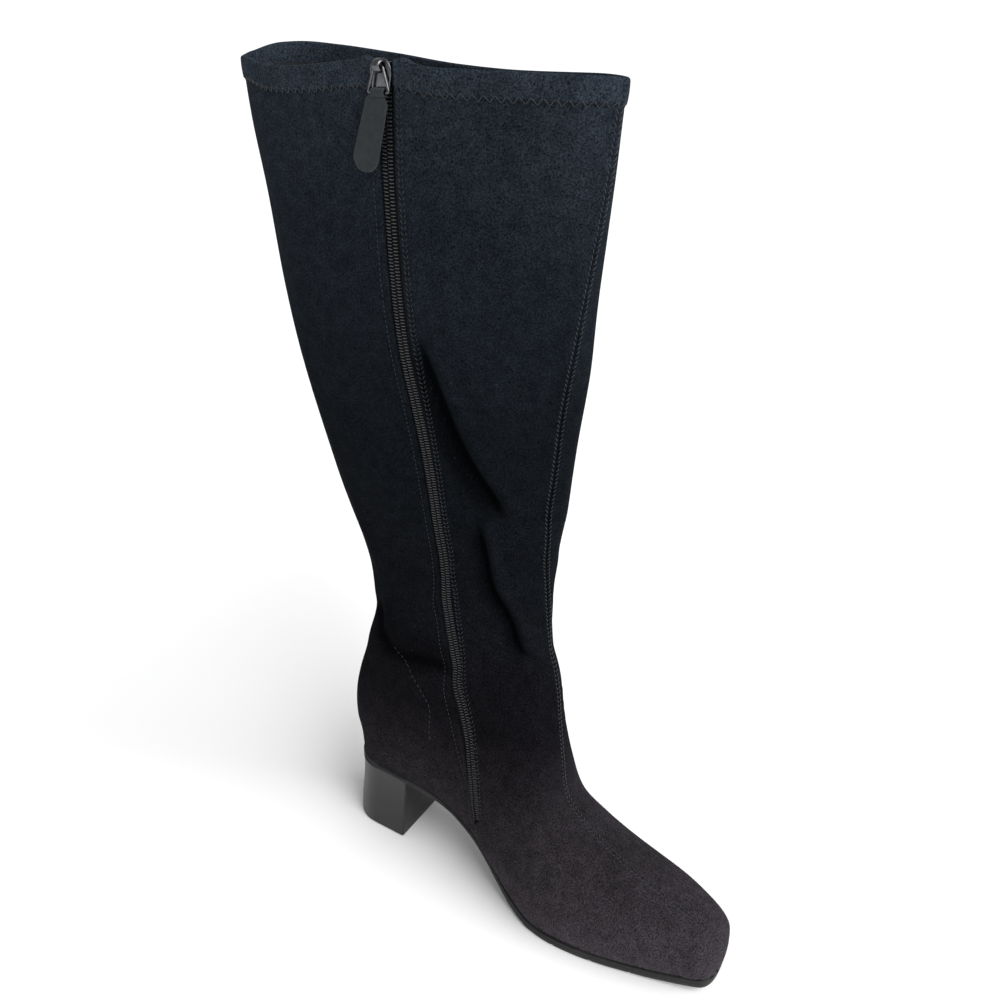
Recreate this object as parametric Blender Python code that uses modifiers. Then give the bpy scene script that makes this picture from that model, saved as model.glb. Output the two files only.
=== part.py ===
"""Left knee-high boot with a block heel, a square toe and a side zip.

Metres, +Z up, toe towards +X, inner (zip) side towards -Y.
The origin is on the floor at the middle of the heel's ground face.
Lengths along the boot are measured from the back of the foot, and moved
by HEEL_MIDDLE when a mesh is made.
"""
import math

import bmesh
import bpy
import numpy as np
from mathutils import Matrix, Vector

# Driving sizes
FOOT_LENGTH = 0.257
BALL_WIDTH = 0.085
HEEL_HEIGHT = 0.049
TOE_SPRING = 0.0054
ANKLE_RISE = 0.100
TOTAL_HEIGHT = 0.4550
COLLAR_BACK = 0.065
COLLAR_FRONT = 0.1455
COLLAR_HALF_WIDTH = 0.037
WALL = 0.0018
FIT_GAP = 0.0004

# Outsole
SOLE_EDGE = 0.0052
SEAT_EDGE = 0.0030
SEAT_INSET = 0.0045
SEAT_ROUND = 0.0270
SEAT_POWER = 2.1
TOE_ROUND = 0.0100
TOE_POWER = 3.2
FLAT_START = 0.149
FLAT_END = 0.185
EDGE_ROUND = 0.0008
SOLE_LEDGE = 0.0012
GROOVE_FIRST = 0.1455
GROOVE_PITCH = 0.0225
GROOVE_COUNT = 4
GROOVE_WIDTH = 0.0018
GROOVE_DEPTH = 0.0011
SOLE_STEP = 0.0068
SOLE_MIDDLE = (FOOT_LENGTH + SEAT_INSET) / 2
SOLE_REACH = (FOOT_LENGTH - SEAT_INSET) / 2

# Heel block
HEEL_BASE_BACK = 0.0034
HEEL_BASE_LENGTH = 0.0435
HEEL_HALF_WIDTH = 0.0209
HEEL_ROUND = 0.021
HEEL_POWER = 2.15
HEEL_CURVE_SHARE = 0.46
HEEL_FLAT_SHARES = (0.60, 0.75, 0.88)
HEEL_MIDDLE = HEEL_BASE_BACK + HEEL_BASE_LENGTH / 2

# Insole
INSOLE_THICKNESS = 0.0025
INSOLE_CLEAR = 3 * FIT_GAP
INSOLE_STEP = 0.0080

# Hem band at the collar
HEM_HEIGHT = 0.0105
HEM_STEP = 0.0008
HEM_EDGE = 0.0010

# Zip
SLOT_WIDTH = 0.0090
SLOT_BOTTOM = 11.2
TAPE_HALF_WIDTH = 0.0110
TAPE_THICKNESS = 0.0007
TAPE_CLEAR = 0.00058
TAPE_DEPTH = WALL + TAPE_CLEAR
TAPE_BELOW_SLOT = 0.2
TAPE_BELOW_COLLAR = 0.1
COIL_HALF_WIDTH = 0.0031
COIL_THICKNESS = 0.0014
COIL_GAP = 0.0005
COIL_ABOVE_SLOT = 0.08
SLIDER_ABOVE_COLLAR = 0.0008
SLIDER_WIDTH = 0.0108
SLIDER_LENGTH = 0.0125
SLIDER_PLATE = 0.0012
SLIDER_EDGE = 0.0004
SLIDER_CORE_WIDTH = 0.0074
SLIDER_CORE_LENGTH = 0.0110
SLIDER_CORE_SHIFT = 0.0002
BRIDGE_BAR = 0.0016
BRIDGE_CLEAR = 0.0023
BRIDGE_LENGTH = 0.0042
BRIDGE_TOP = 0.0010

# Pull: a wire ring on the slider's bridge and a leather tab folded over it
RING_WIRE = 0.0013
RING_TOP_WIDTH = 0.0046
RING_LOW_WIDTH = 0.0108
RING_LENGTH = 0.0098
RING_TURN = 0.0009
TAB_TOP_WIDTH = 0.0108
TAB_WIDTH = 0.0128
TAB_LENGTH = 0.0330
TAB_THICKNESS = 0.0017
TAB_EYE_WALL = 0.0008
TAB_NECK = 0.0024
TAB_SHOULDER = 0.0012
TAB_LEAN = math.radians(-15.0)
HINGE_BELOW_TOP = BRIDGE_TOP + BRIDGE_LENGTH - BRIDGE_BAR / 2 - FIT_GAP - RING_WIRE / 2

# Places around a section: 0 is the back, one half is the front ridge
BOTTOM_V = 0.10
ZIP_V = 0.27
FRONT_V = 0.5

# Grid of the upper: columns in each stretch round it, and steps of u up it
BACK_COLUMNS = 3
BEHIND_COLUMNS = 5
BEFORE_COLUMNS = 7
LATERAL_COLUMNS = 12
SLOT_COLUMN = BACK_COLUMNS + BEHIND_COLUMNS
ROW_STEP = 0.5
SLOT_ROW = 0.4
CALF_U = 23.0
CALF_STEP = 1.0
HEM_CLEAR = 0.3
ROW_CLEAR = 0.1

# Powers that shape the plan of the upper's edge round the heel's seat
SEAT_PLAN_POWER = 1.1
SEAT_FILL_POWER = 0.9

# Steps and tolerances
NORMAL_STEP_U = 0.05
NORMAL_STEP_V = 0.002
SPEED_STEP = 0.004
SLIDER_NORMAL_U = 0.3
SLIDER_UP_U = 0.5
HALVINGS = 30
SAME_PLACE = 1e-9
WELD = 1e-6
FLAT = 1e-7
SHARP_ANGLE = math.radians(35)
START_STEPS = 6
END_STEPS = 5

# Rise of the sole's underside: share of the foot's length, share of the heel's height
ARCH_COLUMNS = ("length", "rise")
ARCH = (
    (0.00, 1.000),
    (0.10, 1.000),
    (0.18, 0.985),
    (0.25, 0.930),
    (0.32, 0.820),
    (0.38, 0.640),
    (0.43, 0.430),
    (0.48, 0.205),
    (0.53, 0.055),
    (FLAT_START / FOOT_LENGTH, 0.0),
)

# Half widths of the sole: share of the foot's length, shares of the ball's width
SOLE_COLUMNS = ("length", "medial", "lateral")
SOLE_OUTLINE = (
    (0.000, 0.262, 0.262),
    (0.120, 0.264, 0.266),
    (0.180, 0.262, 0.272),
    (0.240, 0.248, 0.282),
    (0.310, 0.242, 0.300),
    (0.390, 0.260, 0.335),
    (0.460, 0.308, 0.382),
    (0.525, 0.382, 0.430),
    (0.585, 0.448, 0.465),
    (0.642, 0.470, 0.478),
    (0.692, 0.462, 0.470),
    (0.760, 0.430, 0.440),
    (0.817, 0.392, 0.404),
    (0.875, 0.352, 0.358),
    (0.926, 0.312, 0.306),
    (0.965, 0.280, 0.260),
    (1.000, 0.250, 0.215),
)

# Thickness of the outsole: share of the foot's length, share of the way
# from the seat's edge to the forepart's edge
EDGE_COLUMNS = ("length", "share")
SOLE_THICKNESS = (
    (0.00, 0.00),
    (0.20, 0.00),
    (0.40, 0.20),
    (0.56, 1.00),
    (1.00, 1.00),
)

# Sections of the foot, from the toe to the ankle. Each plane runs from a lower
# end to the front ridge. Places are shares of the foot's length, rises are
# shares of the ankle's rise above the sole at the lower end, and widths are
# shares of the ball's width. "zip" is where the zip crosses the plane.
FOOT_COLUMNS = ("low_x", "low_rise", "top_x", "top_rise", "medial", "lateral",
                "widest", "low_power", "top_power", "low_y", "top_y", "zip")
FOOT_SECTIONS = (
    (0.9980, 0.00, 0.9980, 0.090, 0.120, 0.100, 0.50, 1.5, 2.2, 0.000, -0.070, 0.10),
    (0.9945, 0.00, 0.9945, 0.140, 0.190, 0.165, 0.45, 1.5, 2.4, 0.000, -0.070, 0.12),
    (0.9845, 0.00, 0.9845, 0.190, 0.250, 0.215, 0.45, 1.5, 2.5, 0.000, -0.075, 0.14),
    (0.9620, 0.00, 0.9620, 0.255, 0.292, 0.255, 0.42, 1.5, 2.5, 0.000, -0.080, 0.16),
    (0.9220, 0.00, 0.9220, 0.305, 0.326, 0.308, 0.40, 1.5, 2.4, 0.000, -0.080, 0.18),
    (0.8650, 0.00, 0.8650, 0.355, 0.376, 0.370, 0.38, 1.5, 2.3, 0.000, -0.075, 0.19),
    (0.7970, 0.00, 0.7970, 0.410, 0.420, 0.415, 0.35, 1.5, 2.2, 0.000, -0.065, 0.19),
    (0.7300, 0.00, 0.7120, 0.480, 0.456, 0.445, 0.33, 1.5, 2.1, 0.000, -0.050, 0.18),
    (0.6550, 0.00, 0.6400, 0.560, 0.484, 0.465, 0.30, 1.5, 2.05, 0.000, -0.025, 0.16),
    (0.5800, 0.00, 0.5850, 0.675, 0.466, 0.465, 0.29, 1.5, 2.0, 0.000, 0.005, 0.13),
    (0.4950, 0.00, 0.5600, 0.825, 0.412, 0.445, 0.30, 1.5, 2.0, 0.000, 0.040, 0.10),
    (0.4000, 0.00, 0.5410, 0.800, 0.365, 0.420, 0.33, 1.5, 2.0, 0.000, 0.085, 0.10),
    (0.2900, 0.00, 0.5210, 0.810, 0.330, 0.385, 0.36, 1.5, 2.0, 0.000, 0.130, 0.40),
    (0.1800, 0.00, 0.4990, 0.920, 0.305, 0.360, 0.38, 1.5, 2.0, 0.000, 0.175, 0.545),
    (0.0850, 0.00, 0.4800, 1.030, 0.285, 0.350, 0.42, 1.6, 2.0, 0.000, 0.210, 0.610),
    (0.0060, 0.05, 0.4680, 1.143, 0.275, 0.345, 0.42, 2.2, 2.0, 0.000, 0.240, 0.635),
    (-0.0110, 0.18, 0.4600, 1.250, 0.265, 0.340, 0.44, 2.3, 2.0, 0.010, 0.265, 0.640),
    (-0.0163, 0.36, 0.4560, 1.345, 0.255, 0.335, 0.46, 2.3, 2.0, 0.030, 0.280, 0.625),
    (-0.0060, 0.57, 0.4550, 1.445, 0.245, 0.330, 0.48, 2.3, 2.0, 0.050, 0.290, 0.590),
    (0.0115, 0.76, 0.4565, 1.545, 0.240, 0.330, 0.50, 2.3, 2.0, 0.075, 0.290, 0.550),
    (0.0250, 0.93, 0.4600, 1.645, 0.238, 0.330, 0.50, 2.3, 2.0, 0.105, 0.285, 0.515),
)
HEEL_RING = 14

# Sections of the shaft, from the ankle to the collar. Rises, reaches and widths
# are shares of the way from the ankle's section to the collar's, and the two
# sideways places are shares of the ball's width.
SHAFT_COLUMNS = ("back_rise", "back_reach", "front_rise", "front_reach", "medial",
                 "lateral", "widest", "low_power", "top_power", "low_y", "top_y", "zip")
SHAFT_SECTIONS = (
    (0.050, 0.020, 0.045, 0.070, 0.00, 0.04, 0.50, 2.3, 2.0, 0.130, 0.280, 0.500),
    (0.107, 0.100, 0.093, 0.130, 0.00, 0.10, 0.50, 2.3, 2.0, 0.155, 0.275, 0.495),
    (0.166, 0.205, 0.152, 0.190, 0.02, 0.16, 0.50, 2.3, 2.0, 0.165, 0.265, 0.495),
    (0.230, 0.310, 0.228, 0.280, 0.08, 0.25, 0.50, 2.3, 2.0, 0.155, 0.245, 0.498),
    (0.308, 0.415, 0.338, 0.380, 0.20, 0.36, 0.50, 2.2, 2.0, 0.120, 0.215, 0.500),
    (0.412, 0.530, 0.456, 0.505, 0.38, 0.50, 0.50, 2.1, 2.0, 0.075, 0.175, 0.500),
    (0.536, 0.645, 0.565, 0.625, 0.58, 0.63, 0.50, 2.1, 2.0, 0.040, 0.115, 0.500),
    (0.672, 0.765, 0.684, 0.750, 0.76, 0.77, 0.49, 2.1, 2.0, 0.020, 0.045, 0.512),
    (0.815, 0.866, 0.810, 0.860, 0.88, 0.88, 0.48, 2.1, 1.95, 0.020, -0.010, 0.522),
    (0.910, 0.940, 0.905, 0.935, 0.95, 0.95, 0.47, 2.1, 1.90, 0.020, -0.045, 0.533),
    (1.000, 1.000, 1.000, 1.000, 1.00, 1.00, 0.47, 2.1, 1.90, 0.020, -0.065, 0.540),
)

# Rise of the collar's rim: place around it, share of the hem's height
RIM_COLUMNS = ("place", "rise")
RIM = (
    (0.00, 0.69),
    (0.05, 0.42),
    (0.10, 0.30),
    (0.14, 0.00),
    (0.18, -0.03),
    (0.22, 0.12),
    (0.26, 0.30),
    (0.28, 0.27),
    (0.31, 0.07),
    (0.40, 0.06),
    (0.50, 0.07),
    (0.60, 0.26),
    (0.68, 0.31),
    (0.74, 0.50),
    (0.80, 0.89),
    (0.86, 1.17),
    (0.90, 1.25),
    (0.94, 1.15),
    (1.00, 0.69),
)
RIM_FADE = 3.0

# Heel block: share of the heel's height, set-in of the back, growth of the
# half width, reach of the breast past the base, all in metres
HEEL_COLUMNS = ("rise", "back_in", "wider", "breast")
HEEL_SECTIONS = (
    (0.00, 0.0006, -0.0006, -0.0004),
    (0.014, 0.0000, 0.0000, 0.0000),
    (0.30, 0.0004, -0.0001, 0.0006),
    (0.60, 0.0017, -0.0003, 0.0013),
    (0.85, 0.0024, 0.0000, 0.0019),
    (1.00, 0.0022, 0.0006, 0.0023),
)

# Side view of the slider's bridge: share of its half length, share of its rise
BRIDGE_PROFILE = (
    (-1.00, 0.00),
    (-1.00, 0.55),
    (-0.75, 0.90),
    (-0.40, 1.00),
    (0.40, 1.00),
    (0.75, 0.90),
    (1.00, 0.55),
    (1.00, 0.00),
)

# Surfaces: name, colour, roughness, metallic
FINISHES = (
    ("stretch_fabric", (0.012, 0.013, 0.016), 0.9, 0.0),
    ("sole_rubber", (0.016, 0.015, 0.016), 0.6, 0.0),
    ("heel_stack", (0.045, 0.040, 0.038), 0.4, 0.0),
    ("insole_lining", (0.02, 0.02, 0.022), 0.8, 0.0),
    ("zip_tape_weave", (0.008, 0.008, 0.010), 0.8, 0.0),
    ("zip_coil_nylon", (0.02, 0.02, 0.022), 0.3, 0.0),
    ("dark_metal", (0.10, 0.10, 0.11), 0.25, 1.0),
    ("pull_leather", (0.035, 0.045, 0.05), 0.6, 0.0),
)


def slopes(xs, ys):
    """Tangents that keep a curve through a table free of overshoot."""
    steps = np.diff(ys) / np.diff(xs)
    out = np.zeros(len(xs))
    out[0] = steps[0]
    out[-1] = steps[-1]
    for i in range(1, len(xs) - 1):
        if steps[i - 1] * steps[i] > 0:
            out[i] = 2 * steps[i - 1] * steps[i] / (steps[i - 1] + steps[i])
    return out


def along_table(columns, rows, name, x):
    """The column of a table that has a name, at x, on a smooth curve through its rows."""
    xs = np.array([row[0] for row in rows])
    ys = np.array([row[columns.index(name)] for row in rows])
    x = min(max(x, xs[0]), xs[-1])
    i = min(int(np.searchsorted(xs, x, side="right")) - 1, len(xs) - 2)
    tangents = slopes(xs, ys)
    width = xs[i + 1] - xs[i]
    t = (x - xs[i]) / width
    ends = ys[i] * (2 * t**3 - 3 * t**2 + 1) + ys[i + 1] * (3 * t**2 - 2 * t**3)
    bend = tangents[i] * (t**3 - 2 * t**2 + t) + tangents[i + 1] * (t**3 - t**2)
    return float(ends + width * bend)


def sole_under(x):
    """Height of the sole's underside at x from the back of the foot."""
    if x < FLAT_START:
        return HEEL_HEIGHT * along_table(ARCH_COLUMNS, ARCH, "rise", x / FOOT_LENGTH)
    if x <= FLAT_END:
        return 0.0
    return TOE_SPRING * ((x - FLAT_END) / (FOOT_LENGTH - FLAT_END)) ** 2


def sole_top(x):
    """Height of the outsole's upper face, where the upper and the insole sit."""
    share = along_table(EDGE_COLUMNS, SOLE_THICKNESS, "share", x / FOOT_LENGTH)
    return sole_under(x) + SEAT_EDGE + (SOLE_EDGE - SEAT_EDGE) * share


def sole_side(x, side):
    """Signed half width of the sole at x. Side -1 is medial, 1 lateral."""
    name = "medial" if side < 0 else "lateral"
    half = BALL_WIDTH * along_table(SOLE_COLUMNS, SOLE_OUTLINE, name, x / FOOT_LENGTH)
    back_end = SEAT_INSET + SEAT_ROUND
    toe_start = FOOT_LENGTH - TOE_ROUND
    if x < back_end:
        t = min((back_end - x) / SEAT_ROUND, 1.0)
        half *= (1 - t**SEAT_POWER) ** (1 / SEAT_POWER)
    if x > toe_start:
        t = min((x - toe_start) / TOE_ROUND, 1.0)
        half *= (1 - t**TOE_POWER) ** (1 / TOE_POWER)
    return side * half


def key_sections():
    """Every section in metres: its two ends, widths, powers and zip share."""
    rows = []
    for values in FOOT_SECTIONS:
        row = dict(zip(FOOT_COLUMNS, values))
        low_x = FOOT_LENGTH * row["low_x"]
        base = sole_top(low_x) + FIT_GAP
        rows.append({
            "low": (low_x, base + ANKLE_RISE * row["low_rise"]),
            "top": (FOOT_LENGTH * row["top_x"], base + ANKLE_RISE * row["top_rise"]),
            "medial": BALL_WIDTH * row["medial"],
            "lateral": BALL_WIDTH * row["lateral"],
            "widest": row["widest"],
            "low_power": row["low_power"],
            "top_power": row["top_power"],
            "low_y": BALL_WIDTH * row["low_y"],
            "top_y": BALL_WIDTH * row["top_y"],
            "zip": row["zip"],
            "on_sole": row["low_rise"] == 0.0,
        })
    ankle = rows[-1]
    for values in SHAFT_SECTIONS:
        row = dict(zip(SHAFT_COLUMNS, values))
        back, front = ankle["low"], ankle["top"]
        rows.append({
            "low": (back[0] + (-COLLAR_BACK - back[0]) * row["back_reach"],
                    back[1] + (TOTAL_HEIGHT - back[1]) * row["back_rise"]),
            "top": (front[0] + (COLLAR_FRONT - front[0]) * row["front_reach"],
                    front[1] + (TOTAL_HEIGHT - front[1]) * row["front_rise"]),
            "medial": ankle["medial"] + (COLLAR_HALF_WIDTH - ankle["medial"]) * row["medial"],
            "lateral": ankle["lateral"] + (COLLAR_HALF_WIDTH - ankle["lateral"]) * row["lateral"],
            "widest": row["widest"],
            "low_power": row["low_power"],
            "top_power": row["top_power"],
            "low_y": BALL_WIDTH * row["low_y"],
            "top_y": BALL_WIDTH * row["top_y"],
            "zip": row["zip"],
            "on_sole": False,
        })
    return rows


SECTIONS = key_sections()
COLLAR_U = len(SECTIONS) - 1.0


def turn_at(row, v):
    """Angle round a section, 0 at its lower end and pi at its ridge, at place v."""
    bottom = 0.0 if row["on_sole"] else 2 * math.pi * BOTTOM_V
    side = min(v, 1 - v)
    if side < BOTTOM_V:
        return bottom * side / BOTTOM_V
    if v > FRONT_V:
        return bottom + (math.pi - bottom) * (side - BOTTOM_V) / (FRONT_V - BOTTOM_V)
    share, widest = row["zip"], row["widest"]
    if share < widest:
        at_zip = math.acos((1 - share / widest) ** (row["low_power"] / 2))
    else:
        at_zip = math.acos(-((share - widest) / (1 - widest)) ** (row["top_power"] / 2))
    if side < ZIP_V:
        return bottom + (at_zip - bottom) * (side - BOTTOM_V) / (ZIP_V - BOTTOM_V)
    return at_zip + (math.pi - at_zip) * (side - ZIP_V) / (FRONT_V - ZIP_V)


def section_point(index, v):
    """A point of a section of the upper's outer face, as an array."""
    row = SECTIONS[index]
    v = v % 1.0
    side = -1 if v <= FRONT_V else 1
    low_x, low_z = row["low"]
    top_x, top_z = row["top"]
    edge = 0.0
    if row["on_sole"]:
        edge = abs(sole_side(low_x, side)) - SOLE_LEDGE
        place = min(v, 1 - v)
        if place < BOTTOM_V:
            turn = math.pi / 2 * place / BOTTOM_V
            reach = max(math.cos(turn), 0.0) ** SEAT_PLAN_POWER
            x = low_x - (low_x - SEAT_INSET - SOLE_LEDGE) * reach
            half = max(abs(sole_side(x - SOLE_LEDGE / 2, side)) - SOLE_LEDGE / 2, 0.0)
            half = edge * math.sin(turn) ** SEAT_FILL_POWER if half == 0.0 else min(half, edge)
            if place == 0:
                half = 0.0
            return np.array((x, side * half, low_z))
    turn = turn_at(row, v)
    width = row["medial"] if side < 0 else row["lateral"]
    sine, cosine = math.sin(turn), math.cos(turn)
    if cosine > 0:
        power = 2 / row["low_power"]
        share = row["widest"] * (1 - cosine**power)
        half = edge + (width - edge) * sine**power
    else:
        power = 2 / row["top_power"]
        share = row["widest"] + (1 - row["widest"]) * (-cosine) ** power
        half = width * max(sine, 0.0) ** power
    return np.array((low_x + (top_x - low_x) * share,
                     side * half + row["low_y"] + (row["top_y"] - row["low_y"]) * share,
                     low_z + (top_z - low_z) * share))


def outer_point(u, v):
    """A point of the upper's outer face between its sections, without the hem."""
    v = v % 1.0
    side = min(v, 1 - v)
    first = HEEL_RING if side < BOTTOM_V - SAME_PLACE else 0
    last = len(SECTIONS) - 1
    i = min(max(int(math.floor(u)), first), last - 1)
    t = u - i
    b, c = section_point(i, v), section_point(i + 1, v)
    a = section_point(i - 1, v) if i > first else 2 * b - c
    d = section_point(i + 2, v) if i + 2 <= last else 2 * c - b
    point = 0.5 * (2 * b + (c - a) * t + (2 * a - 5 * b + 4 * c - d) * t**2
                   + (3 * b - a - 3 * c + d) * t**3)
    if u <= HEEL_RING and side < BOTTOM_V + SAME_PLACE:
        point[2] = sole_top(point[0]) + FIT_GAP
    if u > COLLAR_U - RIM_FADE:
        t = (u - COLLAR_U + RIM_FADE) / RIM_FADE
        point[2] += HEM_HEIGHT * along_table(RIM_COLUMNS, RIM, "rise", v) * t * t * (3 - 2 * t)
    return point


def outward(u, v):
    """Unit normal of the outer face, pointing out of the boot."""
    low_u, high_u = max(u - NORMAL_STEP_U, 0.0), min(u + NORMAL_STEP_U, COLLAR_U)
    across = outer_point(u, v + NORMAL_STEP_V) - outer_point(u, v - NORMAL_STEP_V)
    up = outer_point(high_u, v) - outer_point(low_u, v)
    normal = np.cross(across, up)
    return normal / np.linalg.norm(normal)


def zip_speed(u):
    """Metres around the section for one whole unit of v at the zip."""
    change = outer_point(u, ZIP_V + SPEED_STEP) - outer_point(u, ZIP_V - SPEED_STEP)
    return float(np.linalg.norm(change)) / (2 * SPEED_STEP)


def u_at_height(v, height, reach):
    """Place u where the outer face is at a height, within a reach of the collar."""
    low, high = COLLAR_U - reach, COLLAR_U
    for _ in range(HALVINGS):
        middle = (low + high) / 2
        if outer_point(middle, v)[2] < height:
            low = middle
        else:
            high = middle
    return low


def to_boot(point):
    """From lengths measured from the back of the foot to the boot's own frame."""
    return Vector((point[0] - HEEL_MIDDLE, point[1], point[2]))


def material(name, colour, roughness, metallic=0.0):
    """A plain surface."""
    made = bpy.data.materials.new(name)
    made.use_nodes = True
    surface = made.node_tree.nodes["Principled BSDF"]
    surface.inputs["Base Color"].default_value = (*colour, 1.0)
    surface.inputs["Roughness"].default_value = roughness
    surface.inputs["Metallic"].default_value = metallic
    return made


def new_object(name, mesh, collection, finish=None):
    """An object for a mesh, in a collection."""
    made = bpy.data.objects.new(name, mesh)
    collection.objects.link(made)
    if finish is not None:
        mesh.materials.append(finish)
    return made


def mesh_from(name, points, faces):
    """A mesh from points measured from the back of the foot."""
    mesh = bpy.data.meshes.new(name)
    mesh.from_pydata([to_boot(point) for point in points], [], faces)
    work = bmesh.new()
    work.from_mesh(mesh)
    bmesh.ops.recalc_face_normals(work, faces=work.faces)
    work.to_mesh(mesh)
    work.free()
    mesh.shade_smooth()
    mesh.set_sharp_from_angle(angle=SHARP_ANGLE)
    return mesh


def cutter_object(name, mesh, collection):
    """A cutting shape, shown as wire and left out of the model."""
    made = new_object(name, mesh, collection)
    made.hide_render = True
    made.display_type = "WIRE"
    return made


def cut(target, tool, operation="DIFFERENCE"):
    """Cut one object with another and keep the result in its mesh."""
    modifier = target.modifiers.new(operation.title(), "BOOLEAN")
    modifier.operation = operation
    modifier.solver = "EXACT"
    modifier.object = tool


def column_places(u):
    """Places v of the grid's columns at u. The zip slot keeps its width."""
    half_slot = SLOT_WIDTH / 2 / zip_speed(u)
    back = np.linspace(0.0, BOTTOM_V, BACK_COLUMNS + 1)
    behind = np.linspace(BOTTOM_V, ZIP_V - half_slot, BEHIND_COLUMNS + 1)[1:]
    before = np.linspace(ZIP_V + half_slot, FRONT_V, BEFORE_COLUMNS + 1)
    lateral = np.linspace(FRONT_V, 1 - BOTTOM_V, LATERAL_COLUMNS + 1)[1:]
    closing = np.linspace(1 - BOTTOM_V, 1.0, BACK_COLUMNS + 1)[1:-1]
    return np.concatenate((back, behind, before, lateral, closing))


def upper_rows():
    """Places u of the grid's rows, with pairs at the hem's step, and the hem's own u."""
    hem = u_at_height(FRONT_V, TOTAL_HEIGHT - HEM_HEIGHT, 2)
    step = HEM_EDGE / (TOTAL_HEIGHT - outer_point(COLLAR_U - 1, FRONT_V)[2])
    above_slot = SLOT_BOTTOM + SLOT_ROW
    rows = list(np.arange(0.0, SLOT_BOTTOM, ROW_STEP)) + [SLOT_BOTTOM, above_slot]
    rows += list(np.arange(math.ceil(above_slot), CALF_U, ROW_STEP))
    rows += list(np.arange(CALF_U, hem - HEM_CLEAR, CALF_STEP))
    rows += [hem - step, hem, (hem + COLLAR_U) / 2, COLLAR_U]
    return rows, hem


def upper_points(rows, hem):
    """Points of the wall's outer face, their numbers by row and column, and the hem's."""
    points, lookup, in_hem = [], {}, []
    for i, u in enumerate(rows):
        for j, v in enumerate(column_places(u)):
            if u < HEEL_RING and min(v, 1 - v) < BOTTOM_V - SAME_PLACE:
                continue
            point = outer_point(u, v)
            if u >= hem - SAME_PLACE:
                point = point + outward(u, v) * HEM_STEP
                in_hem.append(len(points))
            lookup[i, j] = len(points)
            points.append(point)
    return points, lookup, in_hem


def upper_faces(rows, lookup):
    """Faces of the wall, without the zip's slot, and those that close the toe."""
    columns = len(column_places(rows[0]))
    faces = []
    for i in range(len(rows) - 1):
        for j in range(columns):
            corners = [(i, j), (i, (j + 1) % columns), (i + 1, (j + 1) % columns), (i + 1, j)]
            in_slot = j == SLOT_COLUMN and rows[i] >= SLOT_BOTTOM - SAME_PLACE
            if not in_slot and all(corner in lookup for corner in corners):
                faces.append([lookup[corner] for corner in corners])
    toe = [number for (i, _), number in lookup.items() if i == 0]
    while len(toe) > 2:
        faces.append(list(dict.fromkeys((toe[0], toe[1], toe[-2], toe[-1]))))
        toe = toe[1:-1]
    return faces


def make_upper(collection, finish):
    """The upper: one wall, open at the collar, the zip and the whole underside."""
    rows, hem = upper_rows()
    points, lookup, in_hem = upper_points(rows, hem)
    mesh = mesh_from("upper", points, upper_faces(rows, lookup))
    upper = new_object("upper", mesh, collection, finish)
    wall = upper.vertex_groups.new(name="wall")
    wall.add(list(range(len(points))), WALL / (WALL + HEM_STEP), "REPLACE")
    wall.add(in_hem, 1.0, "REPLACE")
    shell = upper.modifiers.new("Wall", "SOLIDIFY")
    shell.thickness = WALL + HEM_STEP
    shell.offset = -1.0
    shell.use_even_offset = True
    shell.use_rim = True
    shell.vertex_group = wall.name
    return upper


def plan_stations(start, end, round_start, round_end, step):
    """Stations along the boot, closer together where the outline turns at its ends."""
    opening = np.linspace(0, math.pi / 2, START_STEPS + 1)[:-1]
    first = [start + round_start * (1 - math.cos(t)) for t in opening]
    count = max(int(round((end - round_end - start - round_start) / step)), 2)
    middle = list(np.linspace(start + round_start, end - round_end, count + 1))
    closing = np.linspace(0, math.pi / 2, END_STEPS + 1)[1:]
    last = [end - round_end * (1 - math.sin(t)) for t in closing]
    return first + middle + last


def stacked_plate(name, stations, layers):
    """A closed solid whose layers are side lines at the same stations.

    Each layer is a function of a station that gives its medial and lateral points.
    """
    points, faces = [], []
    size = 2 * len(stations)
    for layer in layers:
        for x in stations:
            points.extend(layer(x))
    for k in range(len(stations) - 1):
        a = 2 * k
        faces.append((a, a + 1, a + 3, a + 2))
        top = a + size * (len(layers) - 1)
        faces.append((top, top + 2, top + 3, top + 1))
    ring = list(range(0, size, 2)) + list(range(size - 1, 0, -2))
    for level in range(len(layers) - 1):
        for a, b in zip(ring, ring[1:] + ring[:1]):
            low, high = level * size, (level + 1) * size
            faces.append((low + a, low + b, high + b, high + a))
    mesh = mesh_from(name, points, faces)
    work = bmesh.new()
    work.from_mesh(mesh)
    bmesh.ops.remove_doubles(work, verts=work.verts, dist=WELD)
    bmesh.ops.dissolve_degenerate(work, edges=work.edges, dist=FLAT)
    bmesh.ops.recalc_face_normals(work, faces=work.faces)
    work.to_mesh(mesh)
    work.free()
    return mesh


def sole_layer(inset, height):
    """A layer of the outsole, drawn in by inset, at a height from the station."""
    def layer(x):
        x_in = SOLE_MIDDLE + (x - SOLE_MIDDLE) * (SOLE_REACH - inset) / SOLE_REACH
        out = []
        for side in (-1, 1):
            y = sole_side(x, side)
            y -= math.copysign(min(inset, abs(y)), y)
            out.append((x_in, y, height(x)))
        return out
    return layer


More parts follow.
